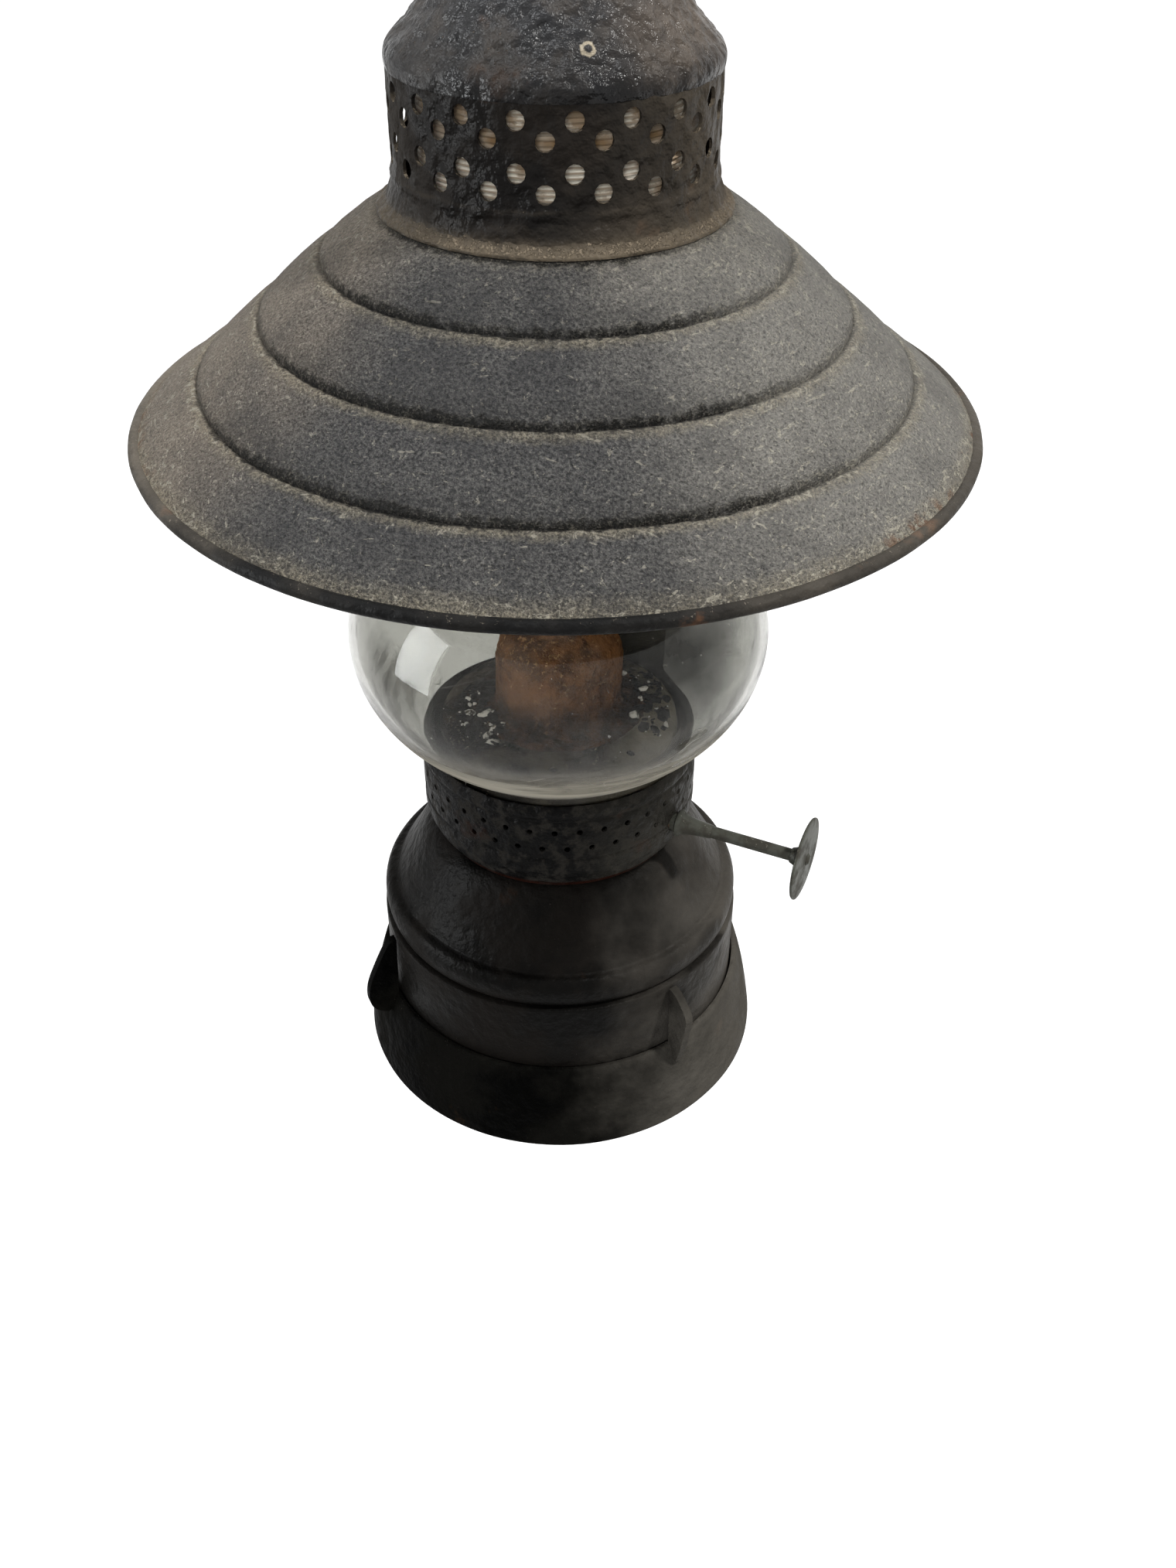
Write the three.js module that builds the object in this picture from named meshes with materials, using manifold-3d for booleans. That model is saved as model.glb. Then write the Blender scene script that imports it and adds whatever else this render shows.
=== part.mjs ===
// Wall-mounted oil lamp: strap bracket, flared holder, oil font, flat-wick burner, glass globe
// and a stepped shade with a perforated crown. Millimetres, +Z up, the wall is at +Y.
// The origin is the centre of the wall plate's back face.
import * as THREE from 'three';
import { mergeVertices } from 'three/addons/utils/BufferGeometryUtils.js';
import Module from 'manifold-3d';

const wasm = await Module();
wasm.setup();

// Clearances shared by all pieces
const fitGap = 0.3;
const runningGap = 0.08;
const overrun = 4;

// Oil font: drum, beaded shoulder, bottom and threaded collar
const drumRadius = 62.5;
const drumTop = 57.5;
const fontWall = 1;
const beadInset = 0.5;
const beadHeight = 12;
const grooveDepth = 4.6;
const shoulderHeight = 23.9;
const collarRadius = 19.2;
const collarWall = 2.7;
const collarFlange = 3.8;
const collarHeight = 13;

// Flared holder with its three upright ears
const fontFit = 0.6;
const holderHeight = 31.4;
const holderWall = 2.4;
const holderFloor = 3;
const footFlare = 6;
const apronThickness = 2.2;
const earThickness = 3;
const earReach = 11.9;
const earDrop = 0.5;
const earAzimuths = [-51, 51, 180];

// Bracket: wall plate, arm with its round pad, and brace
const wallClearance = 10;
const strapWidth = 26;
const strapThickness = 4;
const plateAbove = 150;
const plateBelow = 44;
const bendRadius = 6;
const padRadius = 30;
const screwHoleRadius = 2.75;
const screwHoleInset = 9;
const braceWidth = 16;
const braceThickness = 3;
const braceDrop = 8;
const braceTab = 11;
const rivetRadius = 2;
const rivetHeadRadius = 4;
const rivetHeadHeight = 1.8;
const holderRivetCircle = 20;
const holderRivetCount = 3;

// Hood: stepped shade, perforated crown, dome and ribbed draft tube
const rimHeight = 240;
const shadeRadius = 120;
const rimWireRadius = 1.9;
const shadeWall = 0.8;
const shadeHeight = 58;
const shadeLip = 4;
const creaseRadiusShares = [0.829, 0.676, 0.528];
const creaseHeightShares = [0.2535, 0.5276, 0.7914];
const tierBulge = 0.9;
const creaseStep = 1;
const crownRadius = 42.5;
const crownWall = 0.8;
const crownFootSpread = 4.6;
const crownFootHeight = 10;
const crownHeight = 35.4;
const crownHoleRadius = 2.25;
const crownHolesPerRow = 19;
const crownPhase = 1.8;
const crownRowShares = [0.395, 0.525, 0.731, 0.856];
const domeHeight = 34;
const linerGap = 4.5;
const draftWall = 0.6;
const draftOverlap = 11;
const draftTopGap = 1;
const ribPitch = 6;
const ribDepth = 0.8;
const ribCount = 4;
const seatRingWidth = 11;
const seatRingRise = 7;

// Glass globe
const globeRadius = 66;
const globeHalfHeight = 48;
const globeFootRise = 1.6;
const glassWall = 2.2;
const globeFootWall = 2.7;
const neckClearance = 2.6;
const neckHeight = 11;

// Burner: perforated drum with the globe gallery, base cup, pan, springs and cone
const burnerRadius = 45.5;
const burnerFootInset = 3.9;
const burnerHeight = 35.7;
const bowlHeight = 9.7;
const sheet = 0.9;
const galleryBead = 1;
const galleryHeight = 4.6;
const airHoleRadius = 1;
const airHolesPerRow = 36;
const airRowShares = [0.524, 0.706];
const cupDepth = 11;
const ledgeShare = 0.77;
const panRise = 13;
const panSlope = 3;
const panHoleRadius = 1.5;
const panHoleCount = 8;
const springWidth = 7;
const springThickness = 0.5;
const springRoom = 1.5;
const springCount = 4;
const coneRadius = 20.8;
const coneFlange = 8;
const coneHeight = 34.5;
const coneDome = 15;
const coneSlotWidth = 6;

// Flat wick and its tube
const wickWidth = 22;
const wickThickness = 2.6;
const wickLength = 148;
const wickDepth = 5;
const wickTubeWall = 0.6;
const wickTubeGap = 0.6;
const wickTubeDrop = 7.5;

// Wick raiser
const shaftAzimuth = 79;
const shaftOffset = 7;
const shaftRadius = 2;
const shaftTail = 17;
const knobStandoff = 28.2;
const bushWall = 1;
const bushFlange = 1.6;
const bushLength = 12;
const bearingThickness = 2;
const bearingWidth = 10;
const sprocketThickness = 1;
const sprocketSpacing = 12;
const sprocketClearance = 1.1;
const sprocketTeeth = 10;
const toothDepth = 1.6;
const knobRadius = 13.7;
const knobThickness = 1.7;
const knobHubRadius = 4.2;
const knobHubLength = 5.4;

// Sides of the turned pieces
const shadeSides = 32;
const bodySides = 26;
const tubeSides = 20;
const smallSides = 16;
const holeSides = 8;
const rimWireSides = 5;

// Places worked out from the sizes above, upwards from the holder's foot
const wallDistance = shadeRadius + wallClearance;
const lampHeight = (plateAbove - plateBelow) / 2;
const boreRadius = drumRadius + fontFit;
const footRadius = boreRadius + holderWall + footFlare;
const padTop = -fitGap;
const padBottom = padTop - strapThickness;
const braceFront = footRadius + 2 * rivetHeadRadius;
const braceRear = padBottom - bendRadius - braceDrop;
const fontBottom = holderFloor + fitGap;
const earTop = drumTop - earDrop;
const beadRadius = drumRadius - beadInset;
const beadBottom = drumTop + fitGap;
const shoulderFoot = beadBottom + beadHeight;
const fontTop = shoulderFoot + shoulderHeight;
const collarTop = fontTop + collarHeight / 2;
const burnerFoot = fontTop + fitGap;
const burnerTop = burnerFoot + burnerHeight;
const burnerInner = burnerRadius - sheet;
const burnerFootRadius = burnerRadius - burnerFootInset;
const bowlShoulder = burnerRadius - burnerFootInset * 0.3;
const cupFloor = collarTop + fitGap - cupDepth;
const baseTop = collarTop + fitGap + sheet;
const ledgeTop = burnerFoot + burnerHeight * ledgeShare;
const globeFootRadius = burnerInner - springRoom - springThickness;
const globeFoot = ledgeTop + fitGap;
const footDrop = globeHalfHeight * Math.sqrt(1 - (globeFootRadius / globeRadius) ** 2);
const globeCentre = burnerTop + globeFootRise + footDrop;
const panRadius = globeFootRadius - globeFootWall - 2 * fitGap;
const panTop = ledgeTop + panRise;
const panBoreRadius = coneRadius + coneFlange * 0.4;
const coneFoot = panTop + panSlope + fitGap;
const coneTop = coneFoot + coneHeight;
const wickTop = coneTop - wickDepth;
const tubeTop = coneTop - wickTubeDrop;
const tubeHalf = wickThickness / 2 + wickTubeGap + wickTubeWall;
const tubeHalfWidth = wickWidth / 2 + wickTubeGap + wickTubeWall;
const sprocketRadius = shaftOffset - wickThickness / 2 - fitGap;
const shaftHeight = baseTop + sprocketRadius + sprocketClearance;
const shaftReach = drumRadius + knobStandoff;
const shaftWall = Math.sqrt(burnerRadius ** 2 - shaftOffset ** 2);
const bushRadius = shaftRadius + bushWall;
const draftRadius = crownRadius - crownWall - linerGap;
const neckRadius = draftRadius + neckClearance + glassWall;
const neckFoot = globeCentre + globeHalfHeight * Math.sqrt(1 - (neckRadius / globeRadius) ** 2);
const neckTop = neckFoot + neckHeight;
const shadeTop = rimHeight + shadeHeight;
const crownFoot = shadeTop + fitGap;
const crownFootRadius = crownRadius + crownFootSpread;
const crownTop = crownFoot + crownHeight;
const domeFoot = crownTop + fitGap;
const draftBottom = neckTop - draftOverlap;
const draftTop = crownTop - draftTopGap;

// Finishes seen in the photograph
const finishes = {
  paintedSteel: { color: 0x2e3136, roughness: 0.75, metalness: 0.3 },
  crustedSteel: { color: 0x201e1d, roughness: 0.85, metalness: 0.25 },
  fontSteel: { color: 0x1d1a18, roughness: 0.55, metalness: 0.4 },
  agedBrass: { color: 0x4a3d2c, roughness: 0.6, metalness: 0.6 },
  rustedSteel: { color: 0x7a4a2e, roughness: 0.9, metalness: 0.1 },
  oxidised: { color: 0x4c4d45, roughness: 0.6, metalness: 0.6 },
  liner: { color: 0xb9a88c, roughness: 0.45, metalness: 0.6 },
  glass: { color: 0xe8efee, roughness: 0.05, metalness: 0, transparent: true, opacity: 0.35 },
  wickCotton: { color: 0xc9bfa6, roughness: 0.95, metalness: 0 },
};

// Mesh helpers: every solid is merged, cleaned of flat triangles and turned face outwards
function cleanGeometry(source) {
  const bare = source.index ? source.toNonIndexed() : source.clone();
  for (const name of Object.keys(bare.attributes)) {
    if (name !== 'position') bare.deleteAttribute(name);
  }
  const merged = mergeVertices(bare, 1e-4);
  const index = Array.from(merged.index.array);
  const kept = [];
  for (let i = 0; i < index.length; i += 3) {
    const [a, b, c] = index.slice(i, i + 3);
    if (a !== b && b !== c && c !== a) kept.push(a, b, c);
  }
  merged.setIndex(signedVolume(merged, kept) < 0 ? flipped(kept) : kept);
  return merged;
}

function signedVolume(geometry, index) {
  const p = geometry.attributes.position;
  const corners = [new THREE.Vector3(), new THREE.Vector3(), new THREE.Vector3()];
  let total = 0;
  for (let i = 0; i < index.length; i += 3) {
    corners.forEach((corner, k) => corner.fromBufferAttribute(p, index[i + k]));
    total += corners[0].dot(corners[1].cross(corners[2]));
  }
  return total;
}

function flipped(index) {
  const out = [];
  for (let i = 0; i < index.length; i += 3) out.push(index[i], index[i + 2], index[i + 1]);
  return out;
}

function toManifold(geometry) {
  const clean = cleanGeometry(geometry);
  return new wasm.Manifold(new wasm.Mesh({
    numProp: 3,
    vertProperties: new Float32Array(clean.attributes.position.array),
    triVerts: new Uint32Array(clean.index.array),
  }));
}

function fromManifold(manifold) {
  const mesh = manifold.getMesh();
  const geometry = new THREE.BufferGeometry();
  geometry.setAttribute('position', new THREE.BufferAttribute(new Float32Array(mesh.vertProperties), 3));
  geometry.setIndex(Array.from(mesh.triVerts));
  return geometry;
}

function cut(geometry, cutters) {
  let body = toManifold(geometry);
  for (const cutter of cutters) body = body.subtract(toManifold(cutter));
  return fromManifold(body);
}

function join(geometry, others) {
  let body = toManifold(geometry);
  for (const other of others) body = body.add(toManifold(other));
  return fromManifold(body);
}

// Turned piece about +Z; azimuth runs from the front (-Y) towards +X, in degrees
function turned(points, sides, startAzimuth = 0) {
  const profile = points.map(([r, z]) => new THREE.Vector2(r, z));
  const geometry = new THREE.LatheGeometry(profile, sides, THREE.MathUtils.degToRad(startAzimuth));
  return geometry.rotateX(Math.PI / 2);
}

function ringProfile(points) {
  return [...points, points[0]];
}

function atAzimuth(geometry, azimuth) {
  return geometry.rotateZ(THREE.MathUtils.degToRad(azimuth));
}

// Solid outline in the (radius, z) plane, of one thickness, standing at the front
function radialPlate(points, thickness) {
  const shape = new THREE.Shape(points.map(([r, z]) => new THREE.Vector2(r, z)));
  const plate = new THREE.ExtrudeGeometry(shape, { depth: thickness, bevelEnabled: false });
  plate.translate(0, 0, -thickness / 2);
  return plate.rotateX(Math.PI / 2).rotateZ(-Math.PI / 2);
}

function piece(name, geometry, finish) {
  const mesh = new THREE.Mesh(cleanGeometry(geometry), new THREE.MeshStandardMaterial(finishes[finish]));
  mesh.name = name;
  return mesh;
}

// Holes bored outwards from the axis through a wall of the given radius
function radialHole(radius, wallRadius, height, azimuth, sides) {
  const hole = new THREE.CylinderGeometry(radius, radius, overrun, sides);
  hole.rotateY(Math.PI / sides);
  hole.translate(0, -wallRadius, 0);
  hole.translate(0, 0, height);
  return atAzimuth(hole, azimuth);
}

function verticalHole(radius, x, y, bottom, top) {
  const length = top - bottom + overrun;
  const hole = new THREE.CylinderGeometry(radius, radius, length, holeSides).rotateX(Math.PI / 2);
  return hole.translate(x, y, (top + bottom) / 2);
}

// Rivet with a domed head at each end, along +Z from the lower face to the upper face
function rivetGeometry(lower, upper) {
  const low = lower - fitGap;
  const high = upper + fitGap;
  return turned([
    [0, low - rivetHeadHeight],
    [rivetHeadRadius * 0.7, low - rivetHeadHeight * 0.7],
    [rivetHeadRadius, low],
    [rivetRadius, low],
    [rivetRadius, high],
    [rivetHeadRadius, high],
    [rivetHeadRadius * 0.7, high + rivetHeadHeight * 0.7],
    [0, high + rivetHeadHeight],
  ], holeSides);
}

// Bracket, in the lamp's frame: axis at x = y = 0, z = 0 at the holder's foot
function rivetPlaces() {
  const places = [];
  for (let i = 0; i < holderRivetCount; i += 1) {
    const angle = (2 * Math.PI * i) / holderRivetCount;
    places.push([holderRivetCircle * Math.sin(angle), -holderRivetCircle * Math.cos(angle)]);
  }
  return places;
}

function strapOutline() {
  const back = wallDistance;
  const front = wallDistance - strapThickness;
  const shape = new THREE.Shape();
  shape.moveTo(0, padBottom);
  shape.lineTo(front - bendRadius, padBottom);
  shape.lineTo(front, padBottom - bendRadius);
  shape.lineTo(front, -plateBelow);
  shape.lineTo(back, -plateBelow);
  shape.lineTo(back, plateAbove);
  shape.lineTo(front, plateAbove);
  shape.lineTo(front, padTop + bendRadius);
  shape.lineTo(front - bendRadius, padTop);
  shape.lineTo(0, padTop);
  shape.closePath();
  return shape;
}

// Strap outlines are drawn in the (y, z) plane and pulled along x
function pulledAlongX(shape, width) {
  const bar = new THREE.ExtrudeGeometry(shape, { depth: width, bevelEnabled: false });
  bar.translate(0, 0, -width / 2);
  return bar.rotateX(Math.PI / 2).rotateZ(Math.PI / 2);
}

function throughHoleY(x, z, radius) {
  const hole = new THREE.CylinderGeometry(radius, radius, strapThickness + overrun, holeSides);
  return hole.translate(x, wallDistance - strapThickness / 2, z);
}

function bracketStrap() {
  const strap = pulledAlongX(strapOutline(), strapWidth);
  const pad = turned([[0, padBottom], [padRadius, padBottom], [padRadius, padTop], [0, padTop]], tubeSides);
  const holes = [
    throughHoleY(0, plateAbove - screwHoleInset, screwHoleRadius),
    throughHoleY(0, screwHoleInset - plateBelow, screwHoleRadius),
    verticalHole(rivetRadius + fitGap, 0, braceFront, padBottom, padTop),
    throughHoleY(0, braceRear, rivetRadius + fitGap),
  ];
  for (const [x, y] of rivetPlaces()) {
    holes.push(verticalHole(rivetRadius + fitGap, x, y, padBottom, padTop));
  }
  return piece('bracket_strap', cut(join(strap, [pad]), holes), 'crustedSteel');
}

function bracketBrace() {
  const top = padBottom - fitGap;
  const back = wallDistance - strapThickness - fitGap;
  const frontY = braceFront;
  const rearZ = braceRear;
  const half = braceTab / 2;
  const t = braceThickness;
  const shape = new THREE.Shape([
    [frontY - half, top],
    [frontY + half, top],
    [back, rearZ + half],
    [back, rearZ - half],
    [back - t, rearZ - half],
    [back - t, rearZ + half - t / 2],
    [frontY + half - t / 2, top - t],
    [frontY - half, top - t],
  ].map(([y, z]) => new THREE.Vector2(y, z)));
  const rearHole = throughHoleY(0, rearZ, rivetRadius + fitGap).translate(0, -strapThickness, 0);
  const frontHole = verticalHole(rivetRadius + fitGap, 0, frontY, top - t, top);
  return piece('bracket_brace', cut(pulledAlongX(shape, braceWidth), [rearHole, frontHole]), 'crustedSteel');
}

function braceRivets() {
  const front = rivetGeometry(padBottom - fitGap - braceThickness, padTop).translate(0, braceFront, 0);
  const grip = strapThickness + fitGap + braceThickness;
  const rear = turned([
    [0, -grip - fitGap - rivetHeadHeight],
    [rivetHeadRadius * 0.7, -grip - fitGap - rivetHeadHeight * 0.7],
    [rivetHeadRadius, -grip - fitGap],
    [rivetRadius, -grip - fitGap],
    [rivetRadius, 0],
    [0, 0],
  ], holeSides);
  rear.rotateX(-Math.PI / 2).translate(0, wallDistance, braceRear);
  return [piece('brace_rivet_front', front, 'crustedSteel'), piece('brace_rivet_rear', rear, 'crustedSteel')];
}

function holderRivets() {
  const seat = holderFloor - rivetHeadHeight - fitGap;
  return rivetPlaces().map(([x, y], i) => (
    piece(`holder_rivet_${i + 1}`, rivetGeometry(padBottom, seat).translate(x, y, 0), 'crustedSteel')
  ));
}

function earOutline() {
  const rise = earTop - holderHeight;
  return [
    [boreRadius + holderWall / 2, holderHeight - holderWall * 2],
    [boreRadius, holderHeight - holderWall / 2],
    [boreRadius, earTop],
    [boreRadius + earReach * 0.5, earTop - rise * 0.04],
    [boreRadius + earReach * 0.76, earTop - rise * 0.14],
    [boreRadius + earReach * 0.96, earTop - rise * 0.42],
    [boreRadius + earReach, earTop - rise * 0.74],
    [boreRadius + earReach * 0.95, holderHeight - holderWall],
    [boreRadius + earReach * 0.8, holderHeight - holderWall * 1.8],
  ];
}

function holder() {
  const lip = boreRadius + holderWall;
  const body = turned([
    [0, 0],
    [lip, 0],
    [lip, holderHeight * 0.5],
    [footRadius - apronThickness, 0],
    [footRadius, 0],
    [lip + footFlare * 0.64, holderHeight * 0.48],
    [lip + footFlare * 0.22, holderHeight * 0.86],
    [lip - holderWall * 0.3, holderHeight],
    [boreRadius, holderHeight],
    [boreRadius, holderFloor],
    [0, holderFloor],
  ], bodySides);
  const ears = earAzimuths.map((azimuth) => atAzimuth(radialPlate(earOutline(), earThickness), azimuth));
  const sinks = rivetPlaces().map(([x, y]) => {
    const seat = holderFloor - rivetHeadHeight - fitGap;
    const shank = verticalHole(rivetRadius + fitGap, x, y, 0, holderFloor);
    const sink = verticalHole(rivetHeadRadius + fitGap, x, y, seat + overrun / 2, holderFloor + overrun / 2);
    return [shank, sink];
  });
  return piece('holder', cut(join(body, ears), sinks.flat()), 'fontSteel');
}

// Oil font
function fontDrum() {
  const inner = drumRadius - fontWall;
  return piece('font_drum', turned(ringProfile([
    [inner, fontBottom],
    [drumRadius, fontBottom],
    [drumRadius, drumTop - fontWall * 0.6],
    [drumRadius - fontWall * 0.6, drumTop],
    [beadRadius - beadHeight * 0.25, drumTop],
    [beadRadius - beadHeight * 0.25, drumTop - fontWall],
    [inner, drumTop - fontWall],
  ]), bodySides), 'fontSteel');
}

function fontShoulder() {
  const groove = beadRadius - grooveDepth;
  const flat = burnerFootRadius + sheet / 2;
  const fall = groove - flat;
  const mouth = collarRadius + fitGap;
  const outer = [
    [beadRadius - beadHeight * 0.14, beadBottom],
    [beadRadius - beadHeight * 0.02, beadBottom + beadHeight * 0.32],
    [beadRadius, beadBottom + beadHeight * 0.6],
    [beadRadius - beadHeight * 0.1, beadBottom + beadHeight * 0.86],
    [groove, shoulderFoot],
    [groove - fall * 0.22, shoulderFoot + shoulderHeight * 0.24],
    [groove - fall * 0.6, shoulderFoot + shoulderHeight * 0.68],
    [groove - fall * 0.88, shoulderFoot + shoulderHeight * 0.93],
    [flat, fontTop],
    [mouth, fontTop],
  ];
  const inner = [
    [mouth, fontTop - fontWall],
    [flat - fontWall, fontTop - fontWall],
    [groove - fall * 0.7, shoulderFoot + shoulderHeight * 0.7],
    [groove - fontWall * 1.6, shoulderFoot],
    [beadRadius - beadHeight * 0.22, beadBottom],
  ];
  return piece('font_shoulder', turned(ringProfile([...outer, ...inner]), bodySides), 'fontSteel');
}

function fontBottomDisc() {
  const rim = drumRadius - fontWall - fitGap;
  const low = fontBottom;
  return piece('font_bottom', turned([
    [0, low + fontWall],
    [rim * 0.9, low + fontWall],
    [rim * 0.93, low],
    [rim, low],
    [rim * 0.93, low + fontWall * 2],
    [0, low + fontWall * 2],
  ], bodySides), 'fontSteel');
}

function fontCollar() {
  const bore = collarRadius - collarWall;
  const flangeLow = fontTop + fitGap;
  return piece('font_collar', turned(ringProfile([
    [bore, collarTop - collarHeight],
    [collarRadius, collarTop - collarHeight],
    [collarRadius, flangeLow],
    [collarRadius + collarFlange, flangeLow],
    [collarRadius, flangeLow + fontWall * 1.6],
    [collarRadius, collarTop],
    [bore, collarTop],
  ]), smallSides), 'agedBrass');
}

// Burner
function burnerDrum() {
  const galleryFoot = burnerTop - galleryHeight;
  const band = turned(ringProfile([
    [burnerFootRadius, burnerFoot],
    [bowlShoulder, burnerFoot + bowlHeight * 0.58],
    [burnerRadius, burnerFoot + bowlHeight],
    [burnerRadius, galleryFoot],
    [burnerRadius + galleryBead, galleryFoot + galleryHeight * 0.6],
    [burnerInner + sheet * 0.6, burnerTop],
    [burnerInner, galleryFoot],
    [burnerInner, burnerFoot + bowlHeight],
    [bowlShoulder - sheet, burnerFoot + bowlHeight * 0.58],
    [burnerFootRadius - sheet, burnerFoot],
  ]), airHolesPerRow, -180 / airHolesPerRow);
  const holes = [];
  for (let i = 0; i < airHolesPerRow; i += 1) {
    airRowShares.forEach((share, row) => {
      const azimuth = ((i + (row ? 0.25 : -0.25)) * 360) / airHolesPerRow;
      holes.push(radialHole(airHoleRadius, burnerRadius, burnerFoot + burnerHeight * share, azimuth, 4));
    });
  }
  const bushHole = bushRadius + fitGap;
  holes.push(alongShaft(new THREE.CylinderGeometry(bushHole, bushHole, 3 * overrun, holeSides), shaftWall));
  return piece('burner_drum', cut(band, holes), 'agedBrass');
}

function burnerBase() {
  const cupRadius = collarRadius - collarWall - fitGap;
  const baseRadius = bowlShoulder - sheet - fitGap;
  const cup = turned([
    [0, cupFloor],
    [cupRadius, cupFloor],
    [cupRadius, baseTop - sheet],
    [baseRadius, baseTop - sheet],
    [baseRadius, baseTop],
    [cupRadius - sheet, baseTop],
    [cupRadius - sheet, cupFloor + sheet],
    [0, cupFloor + sheet],
  ], smallSides);
  const slot = new THREE.BoxGeometry(2 * (tubeHalfWidth + fitGap), 2 * (tubeHalf + fitGap), 2 * overrun);
  return piece('burner_base', cut(cup, [alongWick(slot, cupFloor)]), 'agedBrass');
}

function galleryPan() {
  const rim = burnerInner - 1.5 * fitGap;
  const pan = turned(ringProfile([
    [rim, ledgeTop - sheet],
    [rim, ledgeTop],
    [panRadius, ledgeTop],
    [panRadius, panTop],
    [panBoreRadius, panTop + panSlope],
    [panBoreRadius, panTop + panSlope - sheet],
    [panRadius - sheet, panTop - sheet],
    [panRadius - sheet, ledgeTop - sheet],
  ]), 2 * panHoleCount);
  const holes = [];
  for (let i = 0; i < panHoleCount; i += 1) {
    const place = -(panRadius + panBoreRadius + coneFlange * 0.6) / 2;
    const hole = verticalHole(panHoleRadius, 0, place, panTop - sheet, panTop + panSlope);
    holes.push(atAzimuth(hole, ((i + 0.25) * 360) / panHoleCount));
  }
  return piece('gallery_pan', cut(pan, holes), 'agedBrass');
}

function gallerySprings() {
  const back = burnerInner - 2 * fitGap;
  const bow = springRoom - 3 * fitGap;
  const low = ledgeTop + fitGap;
  const high = burnerTop - sheet;
  const middle = (low + high) / 2;
  const outline = [
    [back, low],
    [back, low + (high - low) * 0.2],
    [back - bow, middle],
    [back, high],
    [back - springThickness, high],
    [back - bow - springThickness, middle],
    [back - springThickness, low + (high - low) * 0.2],
    [back - springThickness, low],
  ];
  const springs = [];
  for (let i = 0; i < springCount; i += 1) {
    const spring = atAzimuth(radialPlate(outline, springWidth), ((i + 0.5) * 360) / springCount);
    springs.push(piece(`gallery_spring_${i + 1}`, spring, 'agedBrass'));
  }
  return springs;
}

// Wick parts are drawn with the wick's width along x, then turned to the shaft's azimuth
function alongWick(geometry, height) {
  return atAzimuth(geometry.translate(0, 0, height), shaftAzimuth - 90);
}

function flatTubeOutline(halfWidth, half) {
  const bevel = half * 0.5;
  return [
    [-halfWidth, -half + bevel], [-halfWidth + bevel, -half],
    [halfWidth - bevel, -half], [halfWidth, -half + bevel],
    [halfWidth, half - bevel], [halfWidth - bevel, half],
    [-halfWidth + bevel, half], [-halfWidth, half - bevel],
  ].map(([x, y]) => new THREE.Vector2(x, y));
}

function wickTube() {
  const bottom = cupFloor + sheet + fitGap - overrun;
  const shape = new THREE.Shape(flatTubeOutline(tubeHalfWidth, tubeHalf));
  shape.holes.push(new THREE.Path(flatTubeOutline(tubeHalfWidth - wickTubeWall, tubeHalf - wickTubeWall)));
  const tube = new THREE.ExtrudeGeometry(shape, { depth: tubeTop - bottom, bevelEnabled: false });
  const windows = [-1, 1].map((side) => new THREE.BoxGeometry(
    sprocketThickness + fitGap * 4, overrun * 2, sprocketRadius * 2,
  ).translate((side * sprocketSpacing) / 2, -tubeHalf - overrun / 2, shaftHeight - bottom));
  return piece('wick_tube', alongWick(cut(tube, windows), bottom), 'agedBrass');
}

function burnerCone() {
  const flange = coneRadius + coneFlange;
  const springLine = coneTop - coneDome;
  const outer = [];
  const inner = [];
  const steps = 4;
  for (let i = 0; i <= steps; i += 1) {
    const cos = i < steps ? Math.cos((Math.PI / 2) * (i / steps)) : 0;
    const sin = Math.sin((Math.PI / 2) * (i / steps));
    outer.push([coneRadius * cos, springLine + coneDome * sin]);
    inner.unshift([(coneRadius - sheet) * cos, springLine + (coneDome - sheet) * sin]);
  }
  const shell = turned([
    ...inner,
    [coneRadius - sheet, coneFoot],
    [flange, coneFoot],
    [flange, coneFoot + sheet],
    [coneRadius + sheet, coneFoot + 1.5 * sheet],
    [coneRadius, coneFoot + 4 * sheet],
    ...outer,
  ], tubeSides);
  const slot = alongWick(new THREE.BoxGeometry(tubeHalfWidth * 2, coneSlotWidth, coneDome), coneTop);
  return piece('burner_cone', cut(shell, [slot]), 'rustedSteel');
}

// The raiser shaft lies beside the wick tube; its parts are drawn along +Y and moved here
function alongShaft(geometry, distance) {
  geometry.rotateX(Math.PI);
  geometry.translate(-shaftOffset, -distance, shaftHeight);
  return atAzimuth(geometry, shaftAzimuth);
}

function turnedOnShaft(points, sides, distance) {
  const geometry = new THREE.LatheGeometry(points.map(([r, d]) => new THREE.Vector2(r, d)), sides);
  return alongShaft(geometry, distance);
}

function shaftBush() {
  const bore = shaftRadius + runningGap;
  const face = sheet + fitGap;
  return piece('shaft_bush', turnedOnShaft(ringProfile([
    [bore, -overrun],
    [bushRadius, -overrun],
    [bushRadius, face],
    [bushRadius + bushFlange, face],
    [bushRadius + bushFlange, face + bushFlange],
    [bore + bushWall * 0.25, face + bushLength],
    [bore, face + bushLength],
  ]), smallSides, shaftWall), 'oxidised');
}

function shaftBearing() {
  const low = baseTop + fitGap;
  const top = shaftHeight + 2 * shaftRadius;
  const bore = shaftRadius + runningGap;
  const plate = new THREE.BoxGeometry(bearingWidth, bearingThickness, top - low);
  plate.translate(0, 0, (top + low) / 2 - shaftHeight);
  const foot = new THREE.BoxGeometry(bearingWidth, 3 * bearingThickness, sheet);
  foot.translate(0, bearingThickness, low - shaftHeight + sheet / 2);
  const body = cut(join(plate, [foot]), [new THREE.CylinderGeometry(bore, bore, 2 * overrun, smallSides)]);
  body.translate(-shaftOffset, tubeHalfWidth + fitGap + bearingThickness / 2, shaftHeight);
  return piece('shaft_bearing', atAzimuth(body, shaftAzimuth), 'agedBrass');
}

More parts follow.
